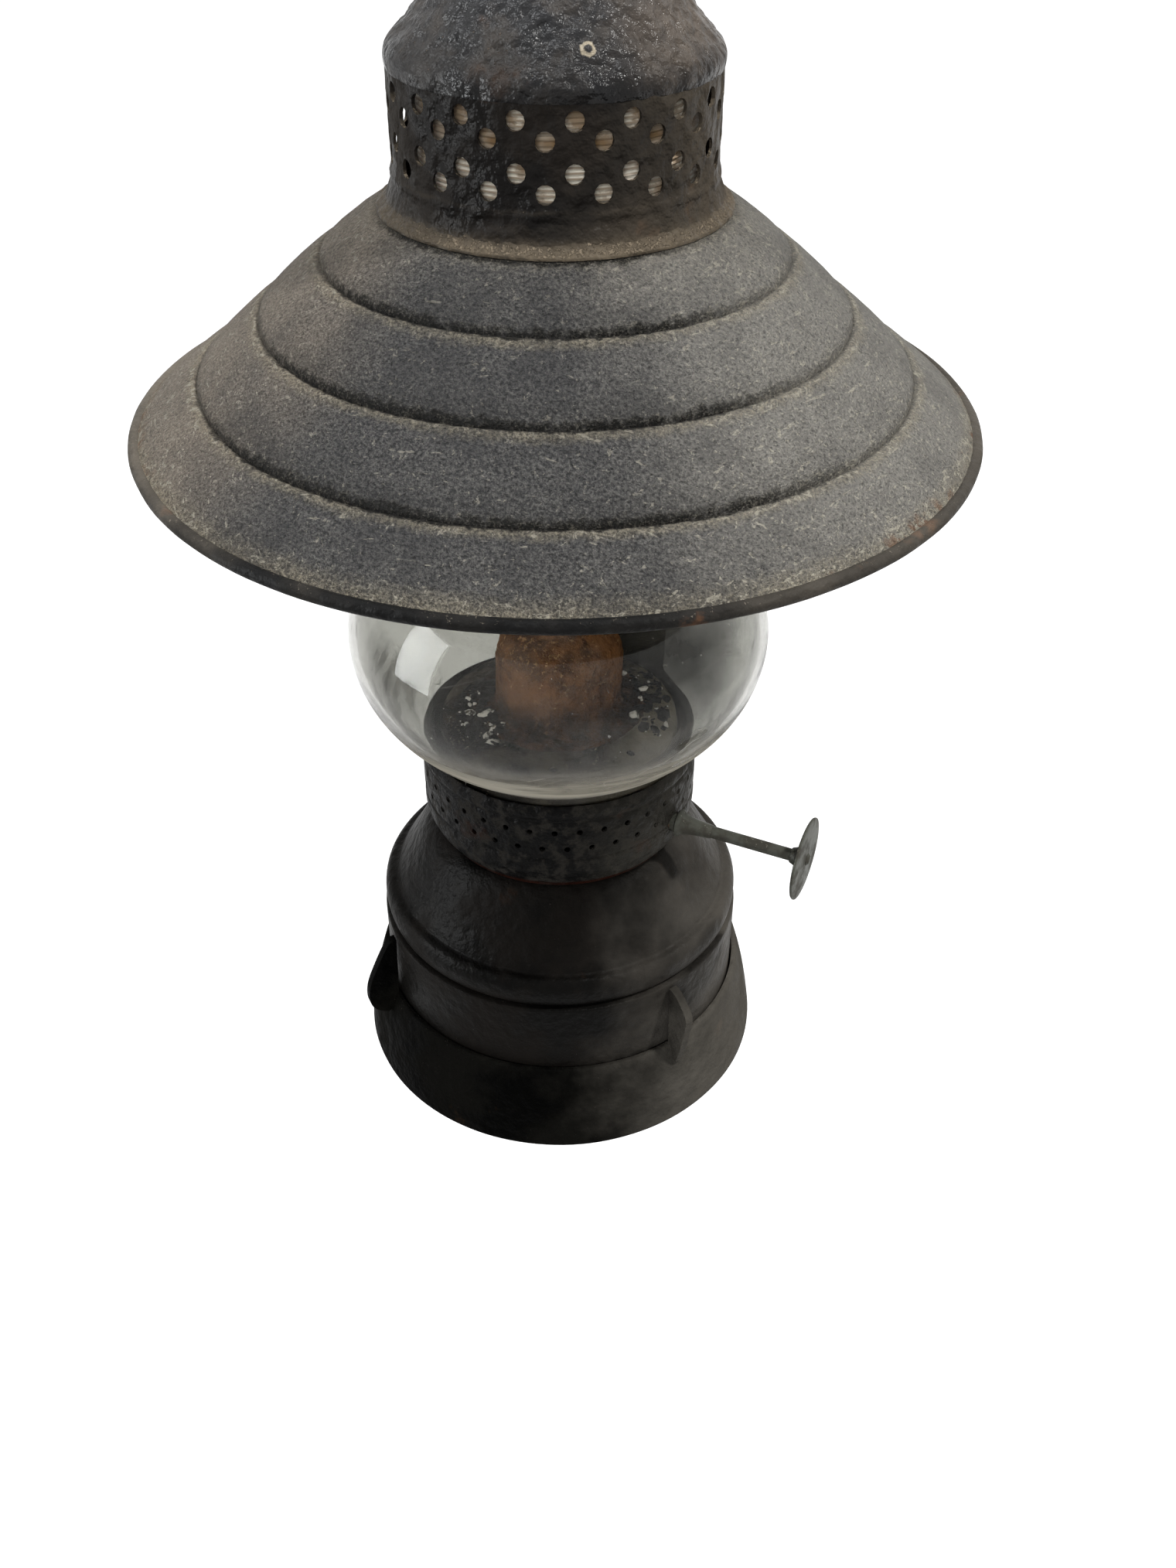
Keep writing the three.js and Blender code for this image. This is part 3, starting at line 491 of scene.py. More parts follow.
class Effects:
    """Builds the shader groups that the finishes share."""

    @staticmethod
    def start(effect: Effect, values: dict[str, float],
              outputs: Sequence[str] = ("Mask",)) -> tuple[Sheet, Sockets, Node]:
        """Opens a new group, whose first input is its coordinates.

        Args:
            effect: the effect, whose value names the group.
            values: each other input's name and its value.
            outputs: the names of the outputs, all values.

        Returns:
            The group's sheet, what it is given by name, and its output node.
        """
        tree = bpy.data.node_groups.new(effect.value, "ShaderNodeTree")
        tree.interface.new_socket("Coordinates", in_out="INPUT", socket_type="NodeSocketVector")
        for label, value in values.items():
            given = tree.interface.new_socket(label, in_out="INPUT", socket_type="NodeSocketFloat")
            given.default_value = value
        for label in outputs:
            tree.interface.new_socket(label, in_out="OUTPUT", socket_type="NodeSocketFloat")
        sheet = Sheet(tree)
        return sheet, sheet.node("NodeGroupInput").outputs, sheet.node("NodeGroupOutput")

    def grain(self) -> None:
        """Fine specks of settled dust, denser with Amount."""
        sheet, given, out = self.start(Effect.GRAIN, {"Grain": 900.0, "Amount": 0.4})
        fine = sheet.noise(given["Coordinates"], given["Grain"], 3.0, 0.75)
        feeds = {"Value": given["Amount"], "To Min": 0.74, "To Max": 0.40}
        low = sheet.node("ShaderNodeMapRange", feeds).outputs[0]
        sheet.feed(out, {"Mask": sheet.remap(fine, low, sheet.plus(low, 0.07))})

    def blotch(self) -> None:
        """Soft-edged patches between two noise levels."""
        sheet, given, out = self.start(Effect.BLOTCH, {"Scale": 60.0, "Low": 0.45, "High": 0.6})
        cloud = sheet.noise(given["Coordinates"], given["Scale"], 6.0, 0.62)
        sheet.feed(out, {"Mask": sheet.remap(cloud, given["Low"], given["High"])})

    def crust(self) -> None:
        """Height of crusted, pitted metal."""
        sheet, given, out = self.start(Effect.CRUST, {"Scale": 300.0, "Pits": 0.5}, ("Height",))
        lumps = sheet.noise(given["Coordinates"], given["Scale"], 3.0)
        feeds = {"Vector": given["Coordinates"], "Scale": sheet.times(given["Scale"], 0.8)}
        cells = sheet.node("ShaderNodeTexVoronoi", feeds, feature="SMOOTH_F1")
        sheet.feed(out, {"Height": sheet.plus(lumps, sheet.times(cells.outputs["Distance"], given["Pits"]))})

    def hairline(self) -> None:
        """Thin wandering lines, for scratches."""
        sheet, given, out = self.start(Effect.HAIRLINE, {"Scale": 20.0, "Width": 0.01})
        field = sheet.noise(given["Coordinates"], given["Scale"], 2.0, 0.4)
        line = sheet.remap(sheet.math("ABSOLUTE", sheet.minus(field, 0.5)), 0.0, given["Width"], 1.0, 0.0)
        where = sheet.remap(sheet.noise(given["Coordinates"], 43.0, 2.0), 0.52, 0.62)
        sheet.feed(out, {"Mask": sheet.times(line, where)})

    def ring(self) -> None:
        """Distance from the lamp's axis and place across it, as shares of a reach."""
        sheet, given, out = self.start(Effect.RING, {"Reach": 0.12}, ("Radius", "Side", "Front"))
        across, depth, _ = sheet.parts(given["Coordinates"])
        depth = sheet.minus(depth, AXIS_Y)
        square = sheet.plus(sheet.math("POWER", across, 2.0), sheet.math("POWER", depth, 2.0))
        for label, length in (("Radius", sheet.math("SQRT", square)), ("Side", across), ("Front", depth)):
            sheet.feed(out, {label: sheet.math("DIVIDE", length, given["Reach"])})

    def band(self) -> None:
        """A soft band at one height above the lamp's foot, in millimetres."""
        sheet, given, out = self.start(Effect.BAND, {"Height": 100.0, "Width": 2.0})
        height = sheet.times(sheet.minus(sheet.parts(given["Coordinates"])[2], FOOT_Z), 1000.0)
        away = sheet.math("ABSOLUTE", sheet.minus(height, given["Height"]))
        sheet.feed(out, {"Mask": sheet.remap(away, 0.0, given["Width"], 1.0, 0.0)})

    def build(self) -> None:
        """Builds every shared effect once."""
        for step in (self.grain, self.blotch, self.crust, self.hairline, self.ring, self.band):
            step()


def new_material(name: str) -> tuple[Finish, Sheet, Node, Socket]:
    """Opens a material.

    Args:
        name: the material's name.

    Returns:
        The material, its sheet, its Principled shader and the Object coordinates.
    """
    material = bpy.data.materials.new(name)
    material.use_nodes = True
    sheet = Sheet(material.node_tree)
    place = sheet.node("ShaderNodeTexCoord").outputs["Object"]
    return material, sheet, material.node_tree.nodes["Principled BSDF"], place


# ---------------------------------------------------------------- finishes


@dataclass(frozen=True)
class WornMetal:
    """Sheet metal with blotched colour, crust, settled dust, flanks lightened by dust and painted light, and a
    ragged band round it.
    """

    name: str
    base: Colour
    blotch: Colour
    dust: Colour = (0.26, 0.22, 0.165)
    stain: Colour = (0.16, 0.06, 0.022)
    blotch_scale: float = 55.0
    blotch_span: Span = (0.42, 0.62)
    stain_scale: float = 38.0
    stain_span: Span = (0.66, 0.74)
    grain: float = 900.0
    dust_flat: float = 0.4
    dust_upright: float = 0.15
    haze: float = 0.0
    # share of dust colour on the left and right flank: settled dust, and painted light on the lit side
    side_dust_and_light: Span = (0.0, 0.0)
    reach: float = 0.07
    line: Colour = (0.006, 0.005, 0.005)
    line_place: Span = (0.0, 1.0)
    line_share: float = 0.0
    chip: Colour = (0.45, 0.39, 0.29)
    chip_place: Triple = (0.0, 0.0, 0.0)
    chip_size: float = 0.0
    crust: float = 320.0
    pits: float = 0.5
    depth: float = 0.0005
    roughness: Span = (0.5, 0.75)
    metallic: float = 0.0
    specular: float = 0.25

    def material(self) -> Finish:
        """Builds the finish.

        Returns:
            The new material.
        """
        material, sheet, shader, place = new_material(self.name)
        blotches = sheet.patches(place, self.blotch_scale, self.blotch_span)
        stains = sheet.patches(place, self.stain_scale, self.stain_span)
        rise = sheet.parts(sheet.node("ShaderNodeNewGeometry").outputs["Normal"])[2]
        upward = sheet.remap(rise, 0.15, 0.85, self.dust_upright, self.dust_flat)
        amount = sheet.plus(upward, sheet.times(blotches, 0.15), clamp=True)
        dust = sheet.effect(Effect.GRAIN, place, Grain=self.grain, Amount=amount)[0]
        crust = sheet.effect(Effect.CRUST, place, Scale=self.crust, Pits=self.pits)[0]
        colour = sheet.mix(blotches, self.base, self.blotch)
        colour = sheet.mix(sheet.times(stains, 0.8), colour, self.stain)
        colour = sheet.mix(sheet.times(upward, self.haze), colour, self.dust)
        # the flanks get dust colour and painted light
        colour = self.flanks(sheet, place, colour)
        colour = sheet.mix(sheet.times(dust, 0.75), colour, self.dust)
        if self.line_share:
            ragged = sheet.remap(sheet.noise(place, 150.0), 0.32, 0.60, self.line_share * 0.55, self.line_share)
            colour = sheet.mix(sheet.times(sheet.band(place, *self.line_place), ragged), colour, self.line)
        if self.chip_size:
            feeds = {0: place, 1: self.chip_place}
            gap = sheet.node("ShaderNodeVectorMath", feeds, operation="DISTANCE").outputs["Value"]
            gap = sheet.plus(gap, sheet.times(sheet.noise(place, 420.0), 0.0016))
            off = sheet.math("ABSOLUTE", sheet.minus(gap, self.chip_size))
            colour = sheet.mix(sheet.remap(off, 0.0002, 0.0006, 0.8, 0.0), colour, self.chip)
        rough = sheet.remap(sheet.most(dust, blotches), 0.0, 1.0, *self.roughness)
        sheet.feed(shader, {"Base Color": colour, "Roughness": rough, "Metallic": self.metallic,
                            "Specular IOR Level": self.specular})
        sheet.bump(shader, sheet.plus(crust, sheet.times(dust, 0.25)), self.depth)
        return material

    def flanks(self, sheet: Sheet, place: Socket, colour: Socket) -> Socket:
        """Lightens the left and right flanks with cloudy dust colour: settled dust, and painted light on the lit
        side.

        Args:
            sheet: the material's sheet.
            place: the Object coordinates.
            colour: the colour so far.

        Returns:
            The dusty colour.
        """
        side = sheet.effect(Effect.RING, place, Reach=self.reach)["Side"]
        cloud = sheet.swing(place, 45.0, 0.9)
        for sign, share in zip((-1.0, 1.0), self.side_dust_and_light):
            if share:
                spread = sheet.plus(sheet.times(side, sign), cloud)
                # painted light and dust: the flank turns towards the dust colour as if lit
                colour = sheet.mix(sheet.remap(spread, 0.25, 1.05, 0.0, share), colour, self.dust)
        return colour


@dataclass(frozen=True)
class DustyPaint:
    """The shade's sandy grey paint with settled dust, flanks lightened by dust and painted sheen, ragged creases
    darkened by dirt and painted shade, and rust at the rim.
    """

    name: str
    paint: Colour = (0.050, 0.050, 0.053)
    worn: Colour = (0.200, 0.197, 0.190)
    # near black, for pits and for painted shade in the dips and creases
    pit_and_crease_shade: Colour = (0.009, 0.009, 0.008)
    warm_dust_and_sheen: Colour = (0.315, 0.262, 0.205)
    cool_dust_and_sheen: Colour = (0.335, 0.322, 0.296)
    tan_dust: Colour = (0.270, 0.235, 0.165)
    warm_grain: Colour = (0.640, 0.550, 0.440)
    cool_grain: Colour = (0.560, 0.535, 0.470)
    tan_grain: Colour = (0.480, 0.425, 0.310)
    speck: Colour = (0.60, 0.56, 0.46)
    rust: Colour = (0.17, 0.070, 0.030)
    creases: tuple[float, ...] = (0.829, 0.676, 0.528)
    grain: float = 1450.0

    def fibres(self, sheet: Sheet, place: Socket, amount: Socket) -> Socket:
        """Strews short pale fibres in three directions.

        Args:
            sheet: the material's sheet.
            place: the Object coordinates.
            amount: what is added to the usual amount.

        Returns:
            The mask of the fibres.
        """
        mask = 0.0
        for turn in (0.5, 1.6, 2.7):
            way = sheet.mapped(sheet.mapped(place, EVEN, (0.0, 0.0, turn)), (1.0, 0.24, 1.0))
            strewn = sheet.effect(Effect.GRAIN, way, Grain=self.grain * 0.40, Amount=sheet.plus(amount, 0.29))
            mask = sheet.most(mask, strewn[0])
        return mask

    def rings(self, start: Sequence[Point], crease: Sequence[Point], end: Sequence[Point]) -> list[Point]:
        """Lays a curve along the shade's radius that repeats at each crease.

        Args:
            start: the stops inside the first crease.
            crease: the stops at a crease, by their distance from it.
            end: the stops at the rim.

        Returns:
            All the stops.
        """
        middle = ((place + away, share) for place in reversed(self.creases) for away, share in crease)
        return [*start, *middle, *end]

    def material(self) -> Finish:
        """Builds the finish.

        Returns:
            The new material.
        """
        material, sheet, shader, place = new_material(self.name)
        ring = sheet.effect(Effect.RING, place, Reach=0.12)
        side = ring["Side"]
        shaky = sheet.plus(sheet.swing(place, 420.0, 0.032), sheet.swing(place, 60.0, 0.014))
        radius = sheet.plus(ring["Radius"], shaky)
        bearing = sheet.math("DIVIDE", side, sheet.most(ring["Radius"], 0.1))
        spread = sheet.math("ABSOLUTE", sheet.plus(bearing, 0.01))
        # painted sheen and dust: the flanks, seen at a grazing angle, take paler dust colour and more fibres
        sides = sheet.remap(sheet.plus(spread, sheet.swing(place, 26.0, 0.5)), 0.30, 0.96)

        fine = sheet.noise(place, self.grain, 2.0, 0.8)
        coarse = sheet.noise(place, self.grain * 0.68, 3.0, 0.75)
        texture = sheet.plus(sheet.remap(fine, 0.42, 0.66, 0.0, 0.6), sheet.remap(coarse, 0.44, 0.64, 0.0, 0.4))
        warmth = sheet.remap(side, -0.4, 0.4)
        tones = ((self.paint, self.warm_dust_and_sheen, self.cool_dust_and_sheen), (self.worn, self.warm_grain, self.cool_grain))
        hollow, grains = (sheet.mix(sheet.times(sides, 0.66), below, sheet.mix(warmth, warm, cool))
                          for below, warm, cool in tones)
        tan = sheet.profile(radius, self.rings([(0.37, 0.75), (0.42, 0.12)], [
            (-0.016, 0.05), (-0.004, 0.22), (0.011, 0.74), (0.030, 0.03)], [(0.940, 0.06), (0.975, 0.80)]))
        hollow = sheet.mix(sheet.times(tan, 0.35), hollow, self.tan_dust)
        colour = sheet.mix(texture, hollow, sheet.mix(tan, grains, self.tan_grain))
        mottle = sheet.remap(sheet.noise(place, 62.0, 6.0), 0.42, 0.66, 0.0, 0.42)
        colour = sheet.mix(sheet.times(mottle, sheet.remap(sides, 0.0, 1.0, 1.0, 0.5)), colour, self.paint)
        amount = sheet.plus(sheet.times(tan, 0.2), sheet.times(sides, 0.08))
        share = sheet.plus(sheet.times(sides, 0.25), sheet.remap(ring["Radius"], 0.5, 0.9, 0.30, 0.48))
        colour = sheet.mix(sheet.times(self.fibres(sheet, place, amount), share), colour, self.speck)
        # painted shade and pits: the lowest dips of the grain relief go near black
        colour = sheet.mix(sheet.remap(coarse, 0.36, 0.44, 0.40, 0.0), colour, self.pit_and_crease_shade)

        # painted shade: dark at the crown's foot, a dirt line at each crease with soft painted shade in the valley
        # above it, and dark towards the rim; weaker on the flanks
        fade = sheet.times(sheet.remap(spread, 0.62, 0.96, 1.0, 0.30),
                           sheet.remap(texture, 0.2, 0.9, 1.0, 0.55))
        dark = sheet.profile(radius, self.rings([(0.398, 0.9), (0.406, 0.0)], [
            (-0.050, 0.0), (-0.012, 0.20), (-0.004, 0.95), (0.002, 0.95), (0.007, 0.0)],
            [(0.975, 0.0), (0.990, 0.5)]))
        dark = sheet.times(dark, fade)
        colour = sheet.mix(dark, colour, self.pit_and_crease_shade)
        edge = sheet.times(sheet.remap(radius, 0.945, 0.975), sheet.remap(spread, 0.62, 0.90))
        rusty = sheet.times(sheet.times(edge, sheet.patches(place, 150.0, (0.52, 0.60))), 0.65)
        sheet.feed(shader, {"Base Color": sheet.mix(rusty, colour, self.rust), "Specular IOR Level": 0.08,
                            "Roughness": sheet.remap(texture, 0.0, 1.0, 0.55, 0.90)})
        height = sheet.plus(sheet.times(fine, 0.6), coarse)
        sheet.bump(shader, sheet.plus(height, sheet.times(dark, -0.4)), 0.0022)
        return material


@dataclass(frozen=True)
class ClearGlass:
    """Old clear glass, tinted grey; the grey is painted shade that dims all that is seen through the globe."""

    name: str = "clear_glass"
    # a strong grey: painted shade for the dim inside of the globe under the hood
    grey_and_shade_tint: Colour = (0.55, 0.55, 0.52)
    index: float = 1.24

    def material(self) -> Finish:
        """Builds the glass, with faint waves from blowing.

        Returns:
            The new material.
        """
        material, sheet, shader, place = new_material(self.name)
        sheet.feed(shader, {"Base Color": (*self.grey_and_shade_tint, 1.0), "Roughness": 0.015, "IOR": self.index,
                            "Transmission Weight": 1.0})
        sheet.bump(shader, sheet.noise(sheet.mapped(place, (1.0, 1.0, 2.2)), 26.0, 1.0), 0.0006)
        return material


@dataclass(frozen=True)
class GlassFilm:
    """The film on the globe: haze, specks and fine scratches over bare glass, a painted pale band of light on the
    front of its foot and a painted dark veil of shade on its back wall.
    """

    name: str = "globe_film"
    dust: Colour = (0.42, 0.40, 0.36)
    foot_film_and_light: Colour = (0.64, 0.60, 0.50)
    shade_veil_tone: Colour = (0.085, 0.080, 0.075)
    mark: Colour = (0.85, 0.83, 0.77)

    def material(self) -> Finish:
        """Builds the film, clear where the glass is clean.

        Returns:
            The new material.
        """
        material, sheet, shader, place = new_material(self.name)
        ring = sheet.effect(Effect.RING, place, Reach=0.066)
        side, front = ring["Side"], ring["Front"]
        cloud = sheet.patches(place, 34.0, (0.42, 0.72))
        # painted light: a pale streaked band on the front of the globe's foot, for light carried in the thick glass,
        # with some dust haze
        foot_haze_and_light = sheet.times(sheet.band(place, 144.0, 17.0), sheet.remap(front, 0.2, -0.2))
        runs = sheet.noise(sheet.mapped(place, (1.0, 1.0, 9.0)), 30.0, 3.0)
        streaks = sheet.remap(runs, 0.38, 0.62, 0.36, 0.90)
        haze = sheet.plus(sheet.times(cloud, sheet.remap(side, -0.2, 0.9, 0.04, 0.20)),
                          sheet.times(foot_haze_and_light, streaks))
        # painted shade: a dark veil on the right of the globe's back wall dims the view through the glass
        back_shade_veil = sheet.times(sheet.band(place, 143.0, 34.0),
                            sheet.times(sheet.remap(side, -0.50, 0.05), sheet.remap(side, 0.92, 0.70)))
        back_shade_veil = sheet.times(back_shade_veil, sheet.remap(front, -0.1, 0.3))
        back_shade_veil = sheet.times(back_shade_veil, sheet.remap(sheet.noise(place, 50.0), 0.3, 0.6, 0.55, 0.80))
        specks = sheet.effect(Effect.GRAIN, place, Grain=480.0, Amount=0.16)[0]
        leaning = sheet.mapped(place, EVEN, (0.0, math.radians(24.0), 0.0))
        slant = sheet.mapped(leaning, (0.06, 1.0, 1.0))
        lines = sheet.effect(Effect.HAIRLINE, slant, Scale=62.0, Width=0.0070)[0]
        lines = sheet.times(lines, sheet.minus(1.0, foot_haze_and_light))
        marks = sheet.plus(sheet.times(specks, 0.55), sheet.times(lines, 0.45))
        tone = sheet.mix(sheet.remap(back_shade_veil, 0.0, 0.3), sheet.mix(foot_haze_and_light, self.dust, self.foot_film_and_light), self.shade_veil_tone)
        sheet.feed(shader, {"Base Color": sheet.mix(sheet.most(specks, lines), tone, self.mark),
                            "Alpha": sheet.plus(sheet.plus(haze, back_shade_veil), marks, clamp=True),
                            "Roughness": 0.85, "Specular IOR Level": 0.1})
        return material


@dataclass(frozen=True)
class BrightTin:
    """The liner's tinned sheet, with tarnish that gathers between the ribs."""

    name: str
    bright: Colour = (0.84, 0.80, 0.70)
    tarnish: Colour = (0.27, 0.175, 0.09)
    pitch: float = 1.3

    def material(self) -> Finish:
        """Builds the finish.

        Returns:
            The new material.
        """
        material, sheet, shader, place = new_material(self.name)
        blotches = sheet.patches(place, 105.0, (0.45, 0.60))
        turns = sheet.times(sheet.minus(sheet.parts(place)[2], FOOT_Z), 1000.0 * math.tau / self.pitch)
        grooves = sheet.remap(sheet.math("SINE", turns), -1.0, -0.1, 0.75, 0.0)
        ragged = sheet.remap(sheet.noise(place, 60.0), 0.40, 0.54, 0.70, 1.0)
        brown = sheet.times(sheet.band(place, 322.2, 4.4), ragged)
        share = sheet.most(sheet.times(blotches, 0.85), sheet.most(grooves, brown))
        sheet.feed(shader, {"Base Color": sheet.mix(share, self.bright, self.tarnish),
                            "Roughness": sheet.remap(blotches, 0.0, 1.0, 0.38, 0.7)})
        sheet.bump(shader, sheet.noise(place, 400.0), 0.0001)
        return material


@dataclass(frozen=True)
class WovenCotton:
    """The flat wick's plain weave, charred towards its top."""

    name: str = "wick_weave"
    thread: Colour = (0.55, 0.48, 0.34)
    oiled: Colour = (0.30, 0.22, 0.11)
    char: Colour = (0.018, 0.014, 0.011)
    turn: float = 11.0
    thread_pitch: float = 0.0011
    char_foot: float = 0.104

    def material(self) -> Finish:
        """Builds the weave.

        Returns:
            The new material.
        """
        material, sheet, shader, place = new_material(self.name)
        across, _, along = sheet.parts(sheet.mapped(place, EVEN, (0.0, 0.0, math.radians(self.turn))))
        waves = [sheet.math("SINE", sheet.times(way, math.tau / self.thread_pitch)) for way in (across, along)]
        weave = sheet.remap(sheet.times(*waves), -1.0, 1.0)
        colour = sheet.mix(sheet.noise(place, 120.0), self.oiled, self.thread)
        colour = sheet.mix(sheet.times(weave, 0.35), colour, self.oiled)
        ragged = sheet.plus(along, sheet.times(sheet.noise(place, 90.0), 0.006))
        burnt = sheet.remap(ragged, self.char_foot, self.char_foot + 0.006)
        sheet.feed(shader, {"Base Color": sheet.mix(burnt, colour, self.char), "Roughness": 0.95})
        sheet.bump(shader, weave, 0.0003)
        return material


SHADE_PAINT = DustyPaint("shade_paint")
RIM_PAINT = WornMetal("rim_paint", (0.008, 0.008, 0.008), (0.020, 0.019, 0.018), dust=(0.25, 0.22, 0.18),
                      dust_flat=0.30, dust_upright=0.08, side_dust_and_light=(0.66, 0.34), reach=0.135,
                      stain=(0.13, 0.06, 0.03), stain_span=(0.58, 0.68), crust=420.0, depth=0.0009,
                      roughness=(0.5, 0.8), specular=0.05)
# painted light and shade: the band and the dome are one crusted steel, set darker on the upright band for its shade
# and lighter on the dome for its lit top
CROWN_CRUST_SHADED = WornMetal("crown_crust_shaded", (0.0062, 0.0062, 0.0068), (0.0150, 0.0130, 0.0118),
                        dust=(0.25, 0.205, 0.15), stain=(0.07, 0.036, 0.020), stain_span=(0.60, 0.74),
                        dust_flat=0.66, dust_upright=0.05, haze=0.40, side_dust_and_light=(0.06, 0.20), reach=0.045,
                        line=(0.175, 0.142, 0.100), line_place=(298.2, 5.2), line_share=0.55, crust=250.0,
                        pits=0.8, depth=0.0020, roughness=(0.36, 0.70), specular=0.045)
# painted shade: the dark band over the dome's lower part, where it meets the crown band
DOME_CRUST_LIT = WornMetal("dome_crust_lit", (0.0265, 0.0265, 0.0280), (0.050, 0.044, 0.039),
                       dust=(0.19, 0.150, 0.115), stain=(0.10, 0.055, 0.030), stain_span=(0.60, 0.74),
                       dust_flat=0.26, dust_upright=0.14, side_dust_and_light=(0.06, 0.62), reach=0.045,
                       line=(0.006, 0.006, 0.0065), line_place=(331.0, 20.0), line_share=0.97,
                       chip_place=(0.0164, -0.1633, 0.2899), chip_size=0.0023, crust=270.0, pits=0.7,
                       depth=0.0021, roughness=(0.24, 0.50), specular=0.16)
# painted shade: the font's and the holder's black is set darker than paint, for the hood's shade over the base;
# their lighter right flank is painted light
FONT_BLACK_SHADED = WornMetal("font_black_shaded", (0.0040, 0.0038, 0.0035), (0.0100, 0.0086, 0.0074),
                       dust=(0.125, 0.115, 0.100), stain=(0.020, 0.012, 0.008), blotch_scale=28.0,
                       dust_flat=0.06, dust_upright=0.02, side_dust_and_light=(0.07, 0.62), crust=300.0,
                       depth=0.0008, roughness=(0.40, 0.60), specular=0.03)
HOLDER_BLACK_SHADED = WornMetal("holder_black_shaded", (0.0010, 0.0010, 0.0009), (0.0070, 0.0067, 0.0057),
                         dust=(0.20, 0.185, 0.16), stain=(0.03, 0.018, 0.010), blotch_scale=34.0,
                         dust_flat=0.08, dust_upright=0.02, side_dust_and_light=(0.0, 0.50), crust=240.0,
                         depth=0.0012, roughness=(0.55, 0.8), specular=0.01)
BRACKET_IRON = WornMetal("bracket_black", (0.020, 0.019, 0.018), (0.042, 0.036, 0.030),
                         dust=(0.20, 0.17, 0.13), stain_span=(0.60, 0.70), crust=240.0, depth=0.0010,
                         roughness=(0.55, 0.8), specular=0.15)
BURNER_BRASS = WornMetal("burner_brass", (0.0045, 0.0044, 0.0043), (0.026, 0.024, 0.021),
                         dust=(0.15, 0.14, 0.115), stain=(0.025, 0.012, 0.008), blotch_scale=230.0,
                         blotch_span=(0.46, 0.62), stain_scale=60.0, stain_span=(0.62, 0.74),
                         dust_flat=0.26, dust_upright=0.14, side_dust_and_light=(0.0, 0.30), reach=0.05,
                         line=(0.020, 0.0055, 0.0030), line_place=(94.0, 4.2), line_share=0.97,
                         crust=280.0, depth=0.0016, roughness=(0.42, 0.7), specular=0.035)
PAN_BRASS = WornMetal("pan_brass", (0.092, 0.078, 0.056), (0.012, 0.009, 0.007), dust=(0.36, 0.32, 0.24),
                      stain=(0.010, 0.008, 0.007), blotch_scale=42.0, stain_scale=48.0,
                      stain_span=(0.50, 0.60), dust_flat=0.30, dust_upright=0.2, side_dust_and_light=(0.0, 0.80),
                      reach=0.045, crust=260.0, depth=0.0012, roughness=(0.6, 0.9), specular=0.04)
CONE_RUST = WornMetal("cone_rust", (0.200, 0.092, 0.038), (0.085, 0.040, 0.019), dust=(0.42, 0.25, 0.125),
                      stain=(0.030, 0.016, 0.010), blotch_scale=70.0, stain_scale=62.0,
                      stain_span=(0.52, 0.70), grain=650.0, dust_flat=0.5, dust_upright=0.42,
                      line=(0.014, 0.008, 0.005), line_place=(138.0, 16.5), line_share=0.92, crust=210.0,
                      pits=0.9, depth=0.0035, roughness=(0.88, 0.97), specular=0.04)
SHAFT_PATINA = WornMetal("shaft_patina", (0.078, 0.081, 0.067), (0.052, 0.049, 0.040),
                         dust=(0.24, 0.23, 0.19), blotch_scale=120.0, dust_flat=0.25, dust_upright=0.15,
                         crust=420.0, depth=0.00018, roughness=(0.45, 0.68), metallic=0.1, specular=0.12)
PAN_ASH = WornMetal("pan_ash", (0.82, 0.79, 0.72), (0.10, 0.09, 0.08), blotch_scale=300.0,
                    blotch_span=(0.52, 0.60))
PAN_SOOT = WornMetal("pan_soot", (0.006, 0.005, 0.005), (0.014, 0.012, 0.010), dust_flat=0.1, specular=0.1)
LINER_TIN = BrightTin("liner_tin")


# ---------------------------------------------------------------- sub-assemblies


def dress(mesh: bpy.types.Mesh, material: Finish) -> None:
    """Gives a mesh one finish."""
    mesh.materials.clear()
    mesh.materials.append(material)


@dataclass
class SubAssembly:
    """A body's pieces and the log line for each."""

    body: Body

    def fit(self, piece: Piece, material: Finish, slot: Slot, *nodes: str) -> Piece:
        """Dresses a piece, hides the nodes that it stands for and lets it ride.

        Args:
            piece: the finished piece.
            material: its finish.
            slot: the slot of that finish; not used.
            nodes: the nodes that it stands for.

        Returns:
            The same piece.
        """
        dress(piece.data, material)
        if nodes:
            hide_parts(*nodes)
        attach(piece, self.body.value)
        LOG.info("%s: %s, %d faces", self.body.value, piece.name, len(piece.data.polygons))
        return piece


def dress_nodes(nodes: dict[str, Piece], names: Sequence[str], material: Finish) -> None:
    """Gives nodes that stay as they are a finish.

    Args:
        nodes: the frame's nodes.
        names: the nodes to dress.
        material: their finish.
    """
    for name in names:
        dress(nodes[name].data, material)
        LOG.info("node %s keeps its shape in %s", name, material.name)


